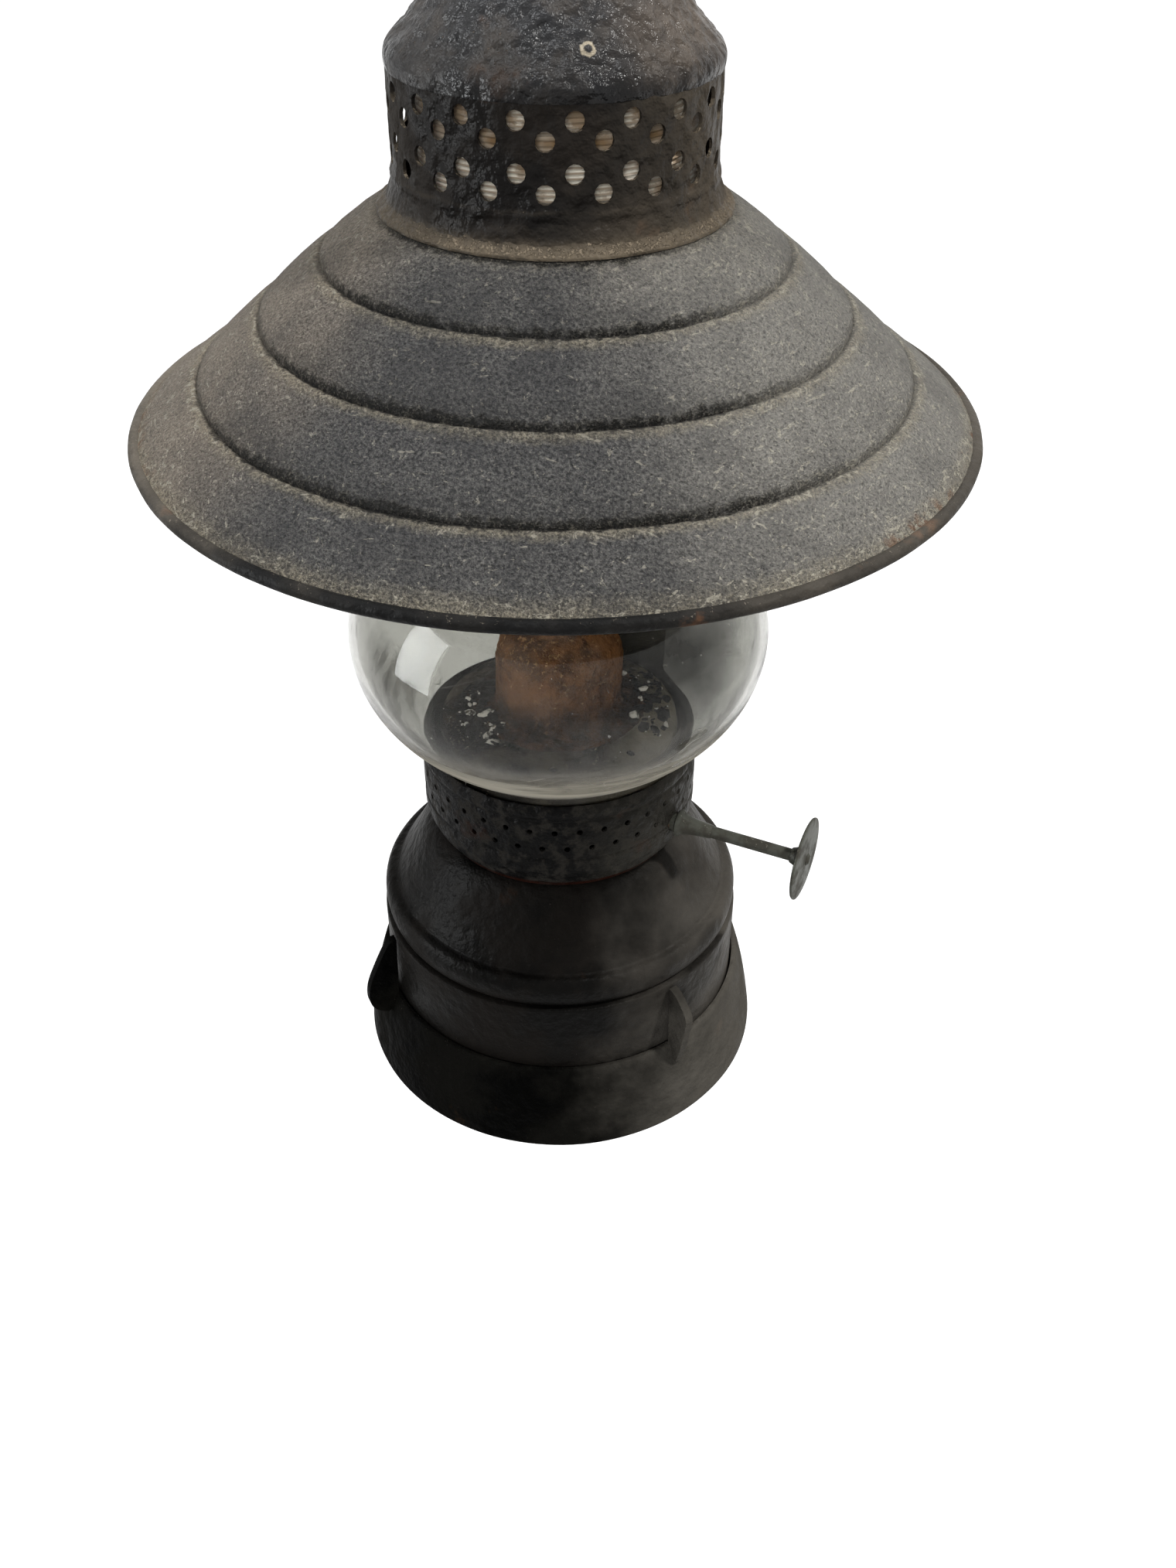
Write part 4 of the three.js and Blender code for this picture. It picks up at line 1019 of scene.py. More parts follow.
@dataclass
class Hood(SubAssembly):
    """Stepped shade with its wired rim, pierced crown, dome and ribbed draft tube."""

    body: Body = Body.HOOD
    rim_height: float = 240.0
    rim_radius: float = 117.95
    wire_radius: float = 1.9
    wall: float = 0.8
    tier_radii: tuple[float, ...] = (117.0, 99.48, 81.12, 63.36, 47.4)
    tier_heights: tuple[float, ...] = (1.0, 14.70, 30.60, 45.90, 57.6)
    tier_points: int = 18
    bulge: float = 0.62
    crease_depth: float = 0.9
    crease_width: float = 0.7
    crown_radius: float = 42.5
    crown_foot: float = 298.3
    row_heights: tuple[float, ...] = (312.28, 316.89, 324.18, 328.60)
    holes_per_row: int = 19
    hole_phase: float = 1.8
    hole_radius: float = 2.4
    tube_radius: float = 37.2
    tube_foot: float = 205.0
    tube_top: float = 332.7
    rib_pitch: float = 1.3
    rib_foot: float = 303.4
    fine_steps: int = 264
    shade_dents: tuple[Triple, ...] = ((0.35, 45.0, 3.1), (0.12, 9.0, 7.7), (0.16, 2.9, 1.3))

    def crease(self, distance: float) -> float:
        """Returns how deep the sheet lies at a distance from a crease."""
        return self.crease_depth * math.exp(-((distance / self.crease_width) ** 2))

    def shade_run(self, offset: float) -> list[Point]:
        """Draws one side of the stepped sheet, from the rim up.

        Args:
            offset: the side's distance from the middle of the sheet.

        Returns:
            The run of points, closer together at the creases.
        """
        corners = list(zip(self.tier_radii, self.tier_heights))
        run = []
        for tier, ((r0, z0), (r1, z1)) in enumerate(zip(corners, corners[1:])):
            length = math.hypot(r1 - r0, z1 - z0)
            for i in range(self.tier_points):
                t = i / self.tier_points
                t = t * t * (3 - 2 * t) * 0.6 + t * 0.4
                down = self.crease(t * length) if tier else 0.0
                up = self.crease((1 - t) * length) * 0.5 if tier < len(corners) - 2 else 0.0
                lift = offset + self.bulge * (1 - abs(2 * t - 1) ** 2.6) - down - up
                radius = r0 + (r1 - r0) * t + lift * (z1 - z0) / length
                run.append((radius, self.rim_height + z0 + (z1 - z0) * t - lift * (r1 - r0) / length))
        return run

    def shade_skin(self) -> Piece:
        """Makes the four-tiered sheet with its flat top lip."""
        half = self.wall / 2
        top = self.rim_height + 58.0
        profile = self.shade_run(half)
        profile += [(47.4, top), (43.4, top), (43.4, top - self.wall), (46.9, top - self.wall)]
        profile += self.shade_run(-half)[::-1]
        bm = turned(profile, self.fine_steps)
        for depth, spread, seed in self.shade_dents:
            dented(bm, depth, spread, seed)
        return made("shade_skin", bm)

    def rim_bead(self) -> Piece:
        """Makes the sheet's edge, rolled round its wire."""
        turns = [math.tau * i / 12 for i in range(12)]
        profile = [(self.rim_radius + self.wire_radius * math.cos(turn),
                    self.rim_height + self.wire_radius * math.sin(turn)) for turn in turns]
        return made("shade_rim", dented(turned(profile, 180), 0.14, 12.0, 5.2))

    def crown_band(self) -> Piece:
        """Makes the crown's flared foot and its band with four staggered rows of holes."""
        foot, inner = self.crown_foot, self.crown_radius - self.wall
        outside = soften([(47.1, foot), (47.0, foot + 0.7), (46.2, foot + 1.2), (44.4, foot + 2.8),
                          (43.2, foot + 5.4), (42.8, foot + 7.6), (43.0, foot + 8.6), (42.9, foot + 9.4),
                          (42.5, foot + 10.6), (42.4, foot + 13.0)])
        outside += [(42.4, foot + 13.0 + i * 21.6 / 18) for i in range(1, 19)]
        profile = outside + [(41.8, foot + 36.6), (inner - 0.4, foot + 36.6), (inner, foot + 10), (45.6, foot)]
        bm = dented(turned(profile, self.fine_steps), 0.22, 16.0, 11.3)
        band = made("crown_band", dented(bm, 0.24, 2.6, 4.9))
        places = hole_rows(self.crown_radius, self.row_heights, self.holes_per_row, (0.5, 0.0), self.hole_phase)
        return bored(band, rods(places, self.hole_radius, 4.0, 12))

    def crown_dome(self) -> Piece:
        """Makes the closed dome with its slightly ragged lip."""
        outside = soften([(42.2, 332.2), (42.5, 332.3), (42.8, 334.0), (42.8, 335.8), (42.0, 337.6),
                          (40.6, 339.2), (38.2, 341.6), (34.8, 345.6), (30.6, 350.8), (24.6, 357.9),
                          (15.4, 364.9), (6.0, 367.6), (0.0, 367.9)], 3)
        inside = [(0.0, 365.6), (15.0, 362.4), (24.0, 355.0), (33.0, 343.4), (39.4, 336.0), (41.4, 333.0)]
        bm = turned(outside + inside, 300)
        centre = Vector((0.0, 0.0, 334.0))
        for vert in bm.verts:
            away = vert.co - centre
            lumps = noise.noise(vert.co / 2.2) * 0.60 + noise.noise(vert.co / 5.5) * 0.55 - 0.38
            lip = min(1.0, max(0.0, (vert.co.z - 334.5) / 5))
            vert.co -= away.normalized() * max(0.0, -lumps) * min(1.0, away.length / 10) * lip
        return made("crown_dome", bm)

    def draft_tube(self) -> Piece:
        """Makes the draft tube with its close ribs behind the crown's holes."""
        outside = [(self.tube_radius, self.tube_foot), (self.tube_radius, self.rib_foot - 1)]
        count = int((self.tube_top - self.rib_foot) / self.rib_pitch) * 4
        for i in range(count):
            height = self.rib_foot + i * self.rib_pitch / 4
            outside.append((self.tube_radius - 0.32 + 0.32 * math.sin(math.tau * (i / 4)), height))
        outside.append((self.tube_radius, self.tube_top))
        inner = self.tube_radius - 1.3
        return made("draft_liner", turned(outside + [(inner, self.tube_top), (inner, self.tube_foot)], 96), 60.0)

    def collars(self) -> list[Piece]:
        """Makes the crown's floor and the ring that seats the hood on the globe's neck."""
        floor = soften([(40.9, 297.3), (43.1, 297.3), (43.1, 298.0), (38.6, 298.0), (37.7, 300.2)], 1)
        ring = soften([(48.4, 216.5), (48.4, 217.2), (39.4, 217.2), (38.0, 219.4), (37.7, 223.3)], 1)
        return [
            made("crown_floor_ring", turned(floor + [(37.5, 300.2), (37.5, 297.3)], 96)),
            made("neck_seat_ring", turned(ring + [(37.5, 223.3), (37.5, 216.3), (48.2, 216.3)], 96)),
        ]

    def build(self) -> None:
        """Builds and dresses the hood."""
        # the crown's darker crust is painted shade; it also dresses the floor ring
        crust, tin = CROWN_CRUST_SHADED.material(), LINER_TIN.material()
        self.fit(self.shade_skin(), SHADE_PAINT.material(), Slot.SHADE_STEEL, "shade")
        self.fit(self.rim_bead(), RIM_PAINT.material(), Slot.SHADE_STEEL, "rim_wire")
        self.fit(self.crown_band(), crust, Slot.CROWN_STEEL, "crown")
        self.fit(self.crown_dome(), DOME_CRUST_LIT.material(), Slot.CROWN_STEEL, "dome")
        self.fit(self.draft_tube(), tin, Slot.LINER_TIN, "draft_tube")
        floor, ring = self.collars()
        self.fit(floor, crust, Slot.CROWN_STEEL, "crown_floor")
        self.fit(ring, tin, Slot.LINER_TIN, "seat_ring")


@dataclass
class Globe(SubAssembly):
    """Blown clear glass globe and the film on it."""

    body: Body = Body.GLOBE
    radius: float = 66.0
    half_height: float = 48.0
    centre: float = 167.96
    wall: float = 2.2
    foot: float = 121.8
    foot_radius: float = 42.6
    foot_wall: float = 2.7
    neck_radius: float = 42.0
    neck_top: float = 215.99
    film_gap: float = 0.06

    def run(self, inset: float, low: float, high: float, steps: int) -> list[Point]:
        """Draws the globe's oblate wall between two radii.

        Args:
            inset: the distance inwards from the outside.
            low: the radius where the wall starts, at the foot.
            high: the radius where it ends, at the neck.
            steps: the number of points less one.

        Returns:
            The points, from the foot up.
        """
        across, up = self.radius - inset, self.half_height - inset
        start, end = -math.acos(low / across), math.acos(high / across)
        turns = [start + (end - start) * i / steps for i in range(steps + 1)]
        return [(across * math.cos(t), self.centre + up * math.sin(t)) for t in turns]

    def outside(self) -> list[Point]:
        """Returns the globe's outer profile, from the foot to the neck's lip."""
        foot = [(self.foot_radius, self.foot + 0.5), (self.foot_radius, self.foot + 6.0)]
        neck = [(self.neck_radius, self.neck_top - 5), (self.neck_radius, self.neck_top - 0.6)]
        return foot + self.run(0, self.foot_radius + 0.15, self.neck_radius + 0.15, 44) + neck

    def glass(self) -> Piece:
        """Makes the glass, thick at its foot and fire-polished at its neck."""
        foot_inner, neck_inner = self.foot_radius - self.foot_wall, self.neck_radius - self.wall
        lip = [(self.neck_radius - 0.5, self.neck_top), (neck_inner + 0.5, self.neck_top),
               (neck_inner, self.neck_top - 0.6)]
        inside = [(foot_inner, self.foot + 0.5), (foot_inner - 0.3, self.foot + 5.0)]
        inside += self.run(self.wall, foot_inner + 0.1, neck_inner + 0.1, 40) + [(neck_inner, self.neck_top - 5)]
        base = [(foot_inner + 0.5, self.foot), (self.foot_radius - 0.5, self.foot)]
        profile = self.outside() + lip + inside[::-1] + base
        return made("globe_glass", dented(turned(profile, 160), 0.10, 40.0, 1.9), 60.0)

    def film(self) -> Piece:
        """Makes the thin film just off the glass, which holds dust, painted light and painted shade."""
        run = [(r + self.film_gap, z) for r, z in self.outside()[:-1]]
        bm = turned(run + [(r + 0.04, z) for r, z in run[::-1]], 160)
        return made("globe_film_and_veils", dented(bm, 0.10, 40.0, 1.9), 60.0)

    def build(self) -> None:
        """Builds and dresses the globe."""
        glass = self.fit(self.glass(), ClearGlass().material(), Slot.CLEAR_GLASS, "globe")
        glass.visible_shadow = False
        self.fit(self.film(), GlassFilm().material(), Slot.CLEAR_GLASS)


@dataclass
class Burner(SubAssembly):
    """Perforated drum with the globe gallery, pan, cone and the raiser's bush."""

    body: Body = Body.BURNER
    foot: float = 94.0
    top: float = 129.7
    radius: float = 45.5
    foot_radius: float = 41.6
    sheet: float = 0.9
    hole_heights: Span = (112.7, 119.2)
    holes_per_row: int = 36
    hole_radius: float = 1.05
    ledge: float = 121.5
    pan_radius: float = 39.3
    pan_top: float = 134.5
    cone_radius: float = 20.8
    cone_foot: float = 137.8
    cone_top: float = 172.3
    cone_dome: float = 15.0
    wick_azimuth: float = -11.0
    shaft_azimuth: float = 79.0
    shaft_offset: float = 7.0
    shaft_height: float = 107.9
    wall_distance: float = 44.96

    def along_shaft(self, bm: Shape) -> Shape:
        """Lays a shape turned about Z along the raiser's shaft, z becoming the distance out.

        Args:
            bm: the turned shape.

        Returns:
            The same shape, in its place.
        """
        place = Matrix.Translation((-self.shaft_offset, 0, self.shaft_height))
        bm.transform(about_axis(self.shaft_azimuth) @ (place @ LAID))
        return bm

    def drum(self) -> Piece:
        """Makes the drum: a bowl, two creases, two rows of air holes and the gallery's bead."""
        foot, radius, inner = self.foot, self.radius, self.radius - self.sheet
        outside = soften([
            (self.foot_radius - 0.6, foot), (self.foot_radius - 0.5, foot + 1.2),
            (self.foot_radius + 0.6, foot + 2.0), (self.foot_radius + 1.8, foot + 3.4),
            (44.4, foot + 5.8), (45.3, foot + 8.2), (radius, foot + 10.0),
            (radius, foot + 13.4), (radius - 0.5, foot + 14.1), (radius, foot + 14.8), (radius, foot + 28.4),
            (radius - 0.5, foot + 29.2), (radius - 0.1, foot + 30.2),
            (radius + 0.9, foot + 31.6), (radius + 1.0, foot + 33.6), (radius + 0.3, foot + 35.2),
        ])
        profile = outside + [(radius - 0.3, self.top), (inner, self.top - 0.5), (inner, foot + 10.0),
                             (43.4, foot + 5.6), (self.foot_radius - self.sheet, foot)]
        drum = made("burner_shell", dented(turned(profile, 144), 0.14, 20.0, 4.4))
        places = hole_rows(radius, self.hole_heights, self.holes_per_row, (-0.25, 0.25))
        bored(drum, rods(places, self.hole_radius, 4.0, 8))
        bush = self.along_shaft(rods([(UP * self.wall_distance, UP)], 3.3, 12.0, 24))
        return bored(drum, bush)

    def pan(self) -> Piece:
        """Makes the raised pan inside the globe's foot, with its draught holes."""
        ledge, rim, top = self.ledge, self.pan_radius, self.pan_top
        upper = soften([(44.1, ledge - 0.6), (43.9, ledge), (rim + 0.6, ledge), (rim, ledge + 1.2),
                        (rim, top - 1.6), (rim - 1.4, top + 0.2), (24.0, top + 3.0)])
        lower = soften([(24.0, top + 2.1), (rim - 1.8, top - 0.7), (rim - 0.9, top - 2.2),
                        (rim - 0.9, ledge - 0.3), (43.6, ledge - 0.9)])
        pan = made("burner_pan", dented(turned(upper + lower, 128), 0.12, 14.0, 9.1))
        places = [(about_axis((i + 0.25) * 45) @ Vector((0, -34.1, top)), UP) for i in range(8)]
        return bored(pan, rods(places, 1.5, 12.0, 14))

    def cone(self) -> Piece:
        """Makes the flame cone with its domed top and the slot for the flame."""
        radius, foot, top = self.cone_radius, self.cone_foot, self.cone_top
        spring = top - self.cone_dome
        turns = [math.pi / 2 * i / 14 for i in range(15)]
        dome = [(radius * math.cos(t), spring + self.cone_dome * math.sin(t)) for t in turns]
        hollow = [((radius - 0.9) * math.cos(t), spring + (self.cone_dome - 0.9) * math.sin(t)) for t in turns]
        skirt = soften([(28.8, foot + 0.1), (28.6, foot + 0.8), (24.4, foot + 1.2), (21.4, foot + 1.9),
                        (20.9, foot + 4.0)])
        profile = [*skirt, *dome[:-1], (0.0, top), (0.0, top - 0.9), *hollow[-2::-1], (19.9, foot), (28.7, foot)]
        bm = turned(profile, 112)
        for vert in bm.verts:
            push = abs(noise.noise(vert.co / 2.2)) * 1.5 + abs(noise.noise(vert.co / 8.0)) * 1.6
            reach = max(1.0, math.hypot(vert.co.x, vert.co.y))
            vert.co -= Vector((vert.co.x, vert.co.y, 0)) * (push / reach)
        cone = made("flame_cone", bm)
        slot = bmesh.new()
        bmesh.ops.create_cube(slot, size=1.0, matrix=about_axis(self.wick_azimuth)
                              @ Matrix.Translation((0, 0, top)) @ Matrix.Diagonal((24.4, 6.0, 15.0, 1.0)))
        return bored(cone, slot)

    def flakes(self, name: str, count: int, seed: float, size: Span, flat: float) -> Piece:
        """Scatters flakes over the pan on both sides of the cone.

        Args:
            name: the piece's name.
            count: the number of flakes.
            seed: sets one scatter apart from another.
            size: the least and the largest flake.
            flat: a flake's height as a share of its length.

        Returns:
            The flakes in one piece.
        """
        shapes = []
        for i in range(count):
            spot = Vector([abs(noise.cell(Vector((i * 1.7 + 0.3, seed + j * 7.1, j * 3.3)))) for j in range(4)])
            radius, azimuth = 23.0 + 10.5 * spot[0], -96 + 66 * spot[1]
            if i % 4 == 0:
                radius, azimuth = radius + 3.0, azimuth + 172
            length = size[0] + (size[1] - size[0]) * spot[2] ** 3
            ground = self.cone_foot + 1.1 if radius < 28.6 else self.pan_top + 2.9 - (radius - 24) * 0.2
            centre = about_axis(azimuth) @ Vector((0, -radius, ground + length * flat * 0.5))
            flake = bmesh.new()
            bmesh.ops.create_icosphere(flake, subdivisions=1, radius=length,
                                       matrix=Matrix.Translation(centre) @ Matrix.Rotation(spot[3] * 6, 4, "Z")
                                       @ Matrix.Rotation(spot[0] * 0.8, 4, "X")
                                       @ Matrix.Diagonal((1.0, 0.7, flat, 1.0)))
            for vert in flake.verts:
                vert.co += (vert.co - centre) * noise.noise(vert.co * 2.1) * 0.6
            shapes.append(flake)
        return made(name, joined(shapes), 180.0)

    def bush(self) -> Piece:
        """Makes the shaft's flanged bush, which tapers outwards."""
        near, face = self.wall_distance - 4, self.wall_distance + 1.2
        outside = soften([(3.0, near), (3.0, face), (4.6, face + 0.1), (4.6, face + 1.4), (3.5, face + 2.2),
                          (2.7, face + 6.0), (2.35, face + 11.4), (2.15, face + 12.0)], 1)
        return made("shaft_collar", self.along_shaft(turned(outside + [(2.08, face + 11.9), (2.08, near)], 32)))

    def build(self, nodes: dict[str, Piece]) -> None:
        """Builds and dresses the burner.

        Args:
            nodes: the frame's nodes, of which some keep their shape.
        """
        brass, pan = BURNER_BRASS.material(), PAN_BRASS.material()
        self.fit(self.drum(), brass, Slot.AGED_BRASS, "burner_drum")
        self.fit(self.pan(), pan, Slot.AGED_BRASS, "gallery_pan")
        self.fit(self.cone(), CONE_RUST.material(), Slot.RUSTED_STEEL, "burner_cone")
        self.fit(self.flakes("pan_crumbs", 120, 3.1, (0.35, 2.3), 0.55), PAN_ASH.material(), Slot.RUSTED_STEEL)
        self.fit(self.flakes("pan_flakes", 240, 9.7, (0.9, 3.2), 0.30), PAN_SOOT.material(), Slot.RUSTED_STEEL)
        self.fit(self.bush(), SHAFT_PATINA.material(), Slot.OXIDISED_BRASS, "shaft_bush")
        springs = [f"gallery_spring_{i}" for i in range(1, 5)]
        dress_nodes(nodes, ["burner_base", "wick_tube", "shaft_bearing", *springs], brass)


@dataclass
class Knob(SubAssembly):
    """Wick raiser: shaft, two toothed wheels and the hand wheel."""

    body: Body = Body.KNOB
    tail: float = -17.0
    reach: float = 90.7
    shaft_radius: float = 2.0
    hub_length: float = 5.4

    def build(self, burner: Burner, nodes: dict[str, Piece]) -> None:
        """Builds and dresses the raiser.

        Args:
            burner: gives the shaft's line.
            nodes: the frame's nodes, of which the toothed wheels keep their shape.
        """
        patina = SHAFT_PATINA.material()
        radius, end = self.shaft_radius, self.reach - 0.3
        rod = [(0.0, self.tail), (radius - 0.3, self.tail), (radius, self.tail + 0.4),
               (radius, self.reach - 0.2), (radius * 0.6, self.reach + 0.6), (0.0, self.reach + 0.7)]
        shaft = made("raiser_rod", burner.along_shaft(turned(rod, 32, closed=False)))
        self.fit(shaft, patina, Slot.OXIDISED_BRASS, "raiser_shaft")
        shaft.visible_shadow = False
        start, web = end - self.hub_length, end - 0.68
        outside = soften([(2.1, start), (2.5, start + 0.1), (2.9, start + 1.4), (3.7, web - 2.2),
                          (6.0, web - 1.1), (10.0, web - 0.95), (13.2, web - 0.8), (13.7, web - 0.2),
                          (13.4, web + 0.3), (9.0, web + 0.5), (4.0, web + 0.6), (2.1, end)])
        wheel = made("hand_wheel", burner.along_shaft(turned(outside, 72)), 50.0)
        self.fit(wheel, patina, Slot.OXIDISED_BRASS, "knob_wheel")
        dress_nodes(nodes, ["sprocket_1", "sprocket_2"], patina)


@dataclass
class Wick(SubAssembly):
    """Flat woven wick."""

    body: Body = Body.WICK
    width: float = 22.0
    thickness: float = 2.6
    length: float = 148.0
    top: float = 167.3

    def build(self, azimuth: float) -> None:
        """Builds and dresses the wick.

        Args:
            azimuth: the turn of its broad side.
        """
        bm = bmesh.new()
        size = Matrix.Diagonal((self.width, self.thickness, self.length, 1.0))
        bmesh.ops.create_cube(bm, size=1.0, matrix=size)
        bmesh.ops.bevel(bm, geom=bm.edges[:], offset=0.8, segments=3, profile=0.5, affect="EDGES", material=-1)
        long_edges = [edge for edge in bm.edges if edge.calc_length() > 10]
        bmesh.ops.subdivide_edges(bm, edges=long_edges, cuts=20, use_grid_fill=True)
        for vert in bm.verts:
            if vert.co.z > self.length / 2 - 2:
                vert.co.z -= 1.4 * abs(noise.noise(vert.co / 2.0))
        bm.transform(about_axis(azimuth) @ Matrix.Translation((0, 0, self.top - self.length / 2)))
        self.fit(made("wick_strip", bm), WovenCotton().material(), Slot.WICK_COTTON, "wick")


@dataclass
class Font(SubAssembly):
    """Oil font: drum, beaded shoulder, bottom and collar."""

    body: Body = Body.FONT
    drum_radius: float = 62.5
    drum_foot: float = 3.3
    drum_top: float = 57.5
    bead_foot: float = 57.8
    groove_height: float = 69.8
    top: float = 93.7

    def build(self, nodes: dict[str, Piece]) -> None:
        """Builds and dresses the font.

        Args:
            nodes: the frame's nodes, of which the bottom and the collar keep their shape.
        """
        shaded_black = FONT_BLACK_SHADED.material()
        radius, foot, top = self.drum_radius, self.drum_foot, self.drum_top
        outside = soften([(61.5, foot), (radius - 0.2, foot + 0.1), (radius, foot + 1.0), (radius, 30.0),
                          (radius, top - 1.2), (radius - 0.1, top - 0.3), (radius - 0.9, top), (59.2, top)])
        drum = turned(outside + [(59.2, top - 1), (61.5, top - 1.2)], 128)
        self.fit(made("font_wall", dented(drum, 0.12, 26.0, 2.2)), shaded_black, Slot.FONT_METAL, "font_drum")
        low, groove = self.bead_foot, self.groove_height
        outside = soften([
            (59.8, low), (61.1, low + 1.0), (61.8, low + 3.6), (62.1, low + 6.4), (61.6, low + 9.2),
            (60.2, low + 11.2), (57.6, groove - 0.6), (57.0, groove + 0.6), (56.4, groove + 2.0),
            (54.2, groove + 5.6), (50.6, groove + 12.0), (47.6, groove + 17.6), (44.8, groove + 21.6),
            (42.0, self.top - 0.4), (40.2, self.top), (30.0, self.top), (19.5, self.top)], 3)
        inside = [(19.5, self.top - 1), (41.0, self.top - 1), (46.8, 86.4), (55.6, 70.4), (59.0, low)]
        shoulder = dented(turned(outside + inside, 144), 0.16, 22.0, 6.1)
        self.fit(made("font_crown", shoulder, 60.0), shaded_black, Slot.FONT_METAL, "font_shoulder")
        dress_nodes(nodes, ["font_bottom"], shaded_black)
        dress_nodes(nodes, ["font_collar"], BURNER_BRASS.material())


@dataclass
class Mount(SubAssembly):
    """Flared holder with three ears, on a strap bracket with a brace."""

    body: Body = Body.BRACKET
    bore: float = 63.1
    wall: float = 2.4
    height: float = 31.4
    ear_azimuths: tuple[float, ...] = (-51.0, 51.0, 180.0)
    ear_thickness: float = 3.0
    low_ear: tuple[Point, ...] = ((0.0, 57.0), (1.6, 56.9), (3.0, 55.8), (4.9, 52.6), (8.0, 46.2),
                                  (10.9, 39.4), (11.8, 34.4), (11.5, 30.0), (9.8, 26.6), (5.3, 24.0))
    high_ear: tuple[Point, ...] = ((0.0, 56.6), (2.4, 56.3), (5.6, 53.6), (8.6, 50.2), (9.6, 47.6),
                                   (8.9, 42.0), (7.6, 35.6), (6.6, 30.2), (5.3, 25.0))
    wall_distance: float = 130.0
    strap_width: float = 26.0
    strap_thickness: float = 4.0
    plate_above: float = 150.0
    plate_below: float = 44.0
    pad_top: float = -0.3
    pad_radius: float = 30.0
    brace_front: float = 79.5
    brace_rear: float = -18.3
    rivet_circle: float = 20.0

    def holder(self) -> Piece:
        """Makes the flared holder's body."""
        lip = self.bore + self.wall
        outside = soften([(69.3, 0.1), (70.6, 0.0), (71.5, 0.3), (71.1, 3.4), (69.9, 11.0), (68.6, 18.0),
                          (67.2, 24.0), (65.9, 28.4), (65.3, 30.6), (64.5, 31.4), (63.3, 31.3)])
        inside = [(self.bore, 30.8), (self.bore, 3.0), (0.0, 3.0)]
        under = [(0.0, 0.0), (lip, 0.0), (lip, 14.0), (67.0, 14.0), (68.0, 9.0)]
        bm = turned(outside + inside + under, 144)
        holder = made("holder_shell", dented(bm, 0.18, 24.0, 8.8))
        places = [(about_axis(120.0 * i) @ Vector((0, -self.rivet_circle, 2.6)), UP) for i in range(3)]
        return bored(holder, rods(places, 4.3, 3.4, 24))

    def ear(self, corners: Sequence[Point]) -> Shape:
        """Cuts one upright ear, standing at the front.

        Args:
            corners: the ear's outer edge as (distance out from the bore, height), from the top.

        Returns:
            The ear.
        """
        outline = [(-(self.bore + out), height) for out, height in soften(corners, 2)]
        outline.append((-(self.bore + 1.0), self.height - 6.0))
        return plate(outline, self.ear_thickness, 0.8, 3)

    def strap(self) -> Piece:
        """Makes the wall plate and its arm in one bent strap."""
        back, front, top = self.wall_distance, self.wall_distance - self.strap_thickness, self.pad_top
        low = top - self.strap_thickness
        outline = [(0, low), (front - 6, low), (front - 1.8, low - 1.8), (front, low - 6),
                   (front, -self.plate_below), (back, -self.plate_below), (back, self.plate_above),
                   (front, self.plate_above), (front, top + 6), (front - 1.8, top + 1.8), (front - 6, top), (0, top)]
        strap = made("wall_strap", plate(outline, self.strap_width, 0.7))
        along_wall = Vector((0, 1, 0))
        wall_holes = [(Vector((0, back - 2, height)), along_wall)
                      for height in (self.plate_above - 9, 9 - self.plate_below)]
        return bored(strap, rods(wall_holes, 2.75, 8.0, 24))

    def pad(self) -> Piece:
        """Makes the round pad at the arm's end, under the holder."""
        top = self.pad_top
        low, edge = top - self.strap_thickness, self.pad_radius
        profile = [(0, low), (edge - 0.5, low), (edge, low + 0.5), (edge, top - 0.5), (edge - 0.5, top), (0, top)]
        return made("arm_pad", turned(profile, 96, closed=False))

    def brace(self) -> Piece:
        """Makes the slanting brace between the arm and the wall plate."""
        top = self.pad_top - self.strap_thickness - 0.3
        back = self.wall_distance - self.strap_thickness - 0.3
        outline = [(self.brace_front - 5.5, top), (self.brace_front + 5.5, top), (back, self.brace_rear + 5.5),
                   (back, self.brace_rear - 5.5), (back - 3, self.brace_rear - 5.5),
                   (back - 3, self.brace_rear + 4), (self.brace_front + 4, top - 3),
                   (self.brace_front - 5.5, top - 3)]
        return made("arm_brace", plate(outline, 16.0, 0.5))

    @staticmethod
    def rivet(low: float, high: float) -> Shape:
        """Turns a rivet with a rounded head at each end.

        Args:
            low: the height of the lower head's flat side.
            high: the height of the upper head's flat side.

        Returns:
            The rivet, standing on the lamp's axis.
        """
        head = soften([(0.0, high + 1.8), (2.6, high + 1.7), (4.0, high + 0.4), (4.0, high)])
        foot = soften([(4.0, low), (4.0, low - 0.4), (2.6, low - 1.7), (0.0, low - 1.8)])
        return turned(head + [(2.0, high), (2.0, low)] + foot, 32, closed=False)

    def rivets(self) -> dict[str, Shape]:
        """Returns each rivet in its place, by the node that it stands for."""
        low = self.pad_top - self.strap_thickness
        shapes = {}
        for i in range(3):
            rivet = self.rivet(low - 0.3, 1.2)
            rivet.transform(about_axis(120.0 * i) @ Matrix.Translation((0, -self.rivet_circle, 0)))
            shapes[f"holder_rivet_{i + 1}"] = rivet
        front = self.rivet(low - 3.6, self.pad_top + 0.3)
        front.transform(Matrix.Translation((0, self.brace_front, 0)))
        head = soften([(4.0, 7.6), (4.0, 8.0), (2.6, 9.3), (0.0, 9.4)])
        rear = turned([(0.0, 0.0), (2.0, 0.0), (2.0, 7.6)] + head, 32, closed=False)
        rear.transform(Matrix.Translation((0, self.wall_distance, self.brace_rear)) @ LAID)
        return shapes | {"brace_rivet_front": front, "brace_rivet_rear": rear}

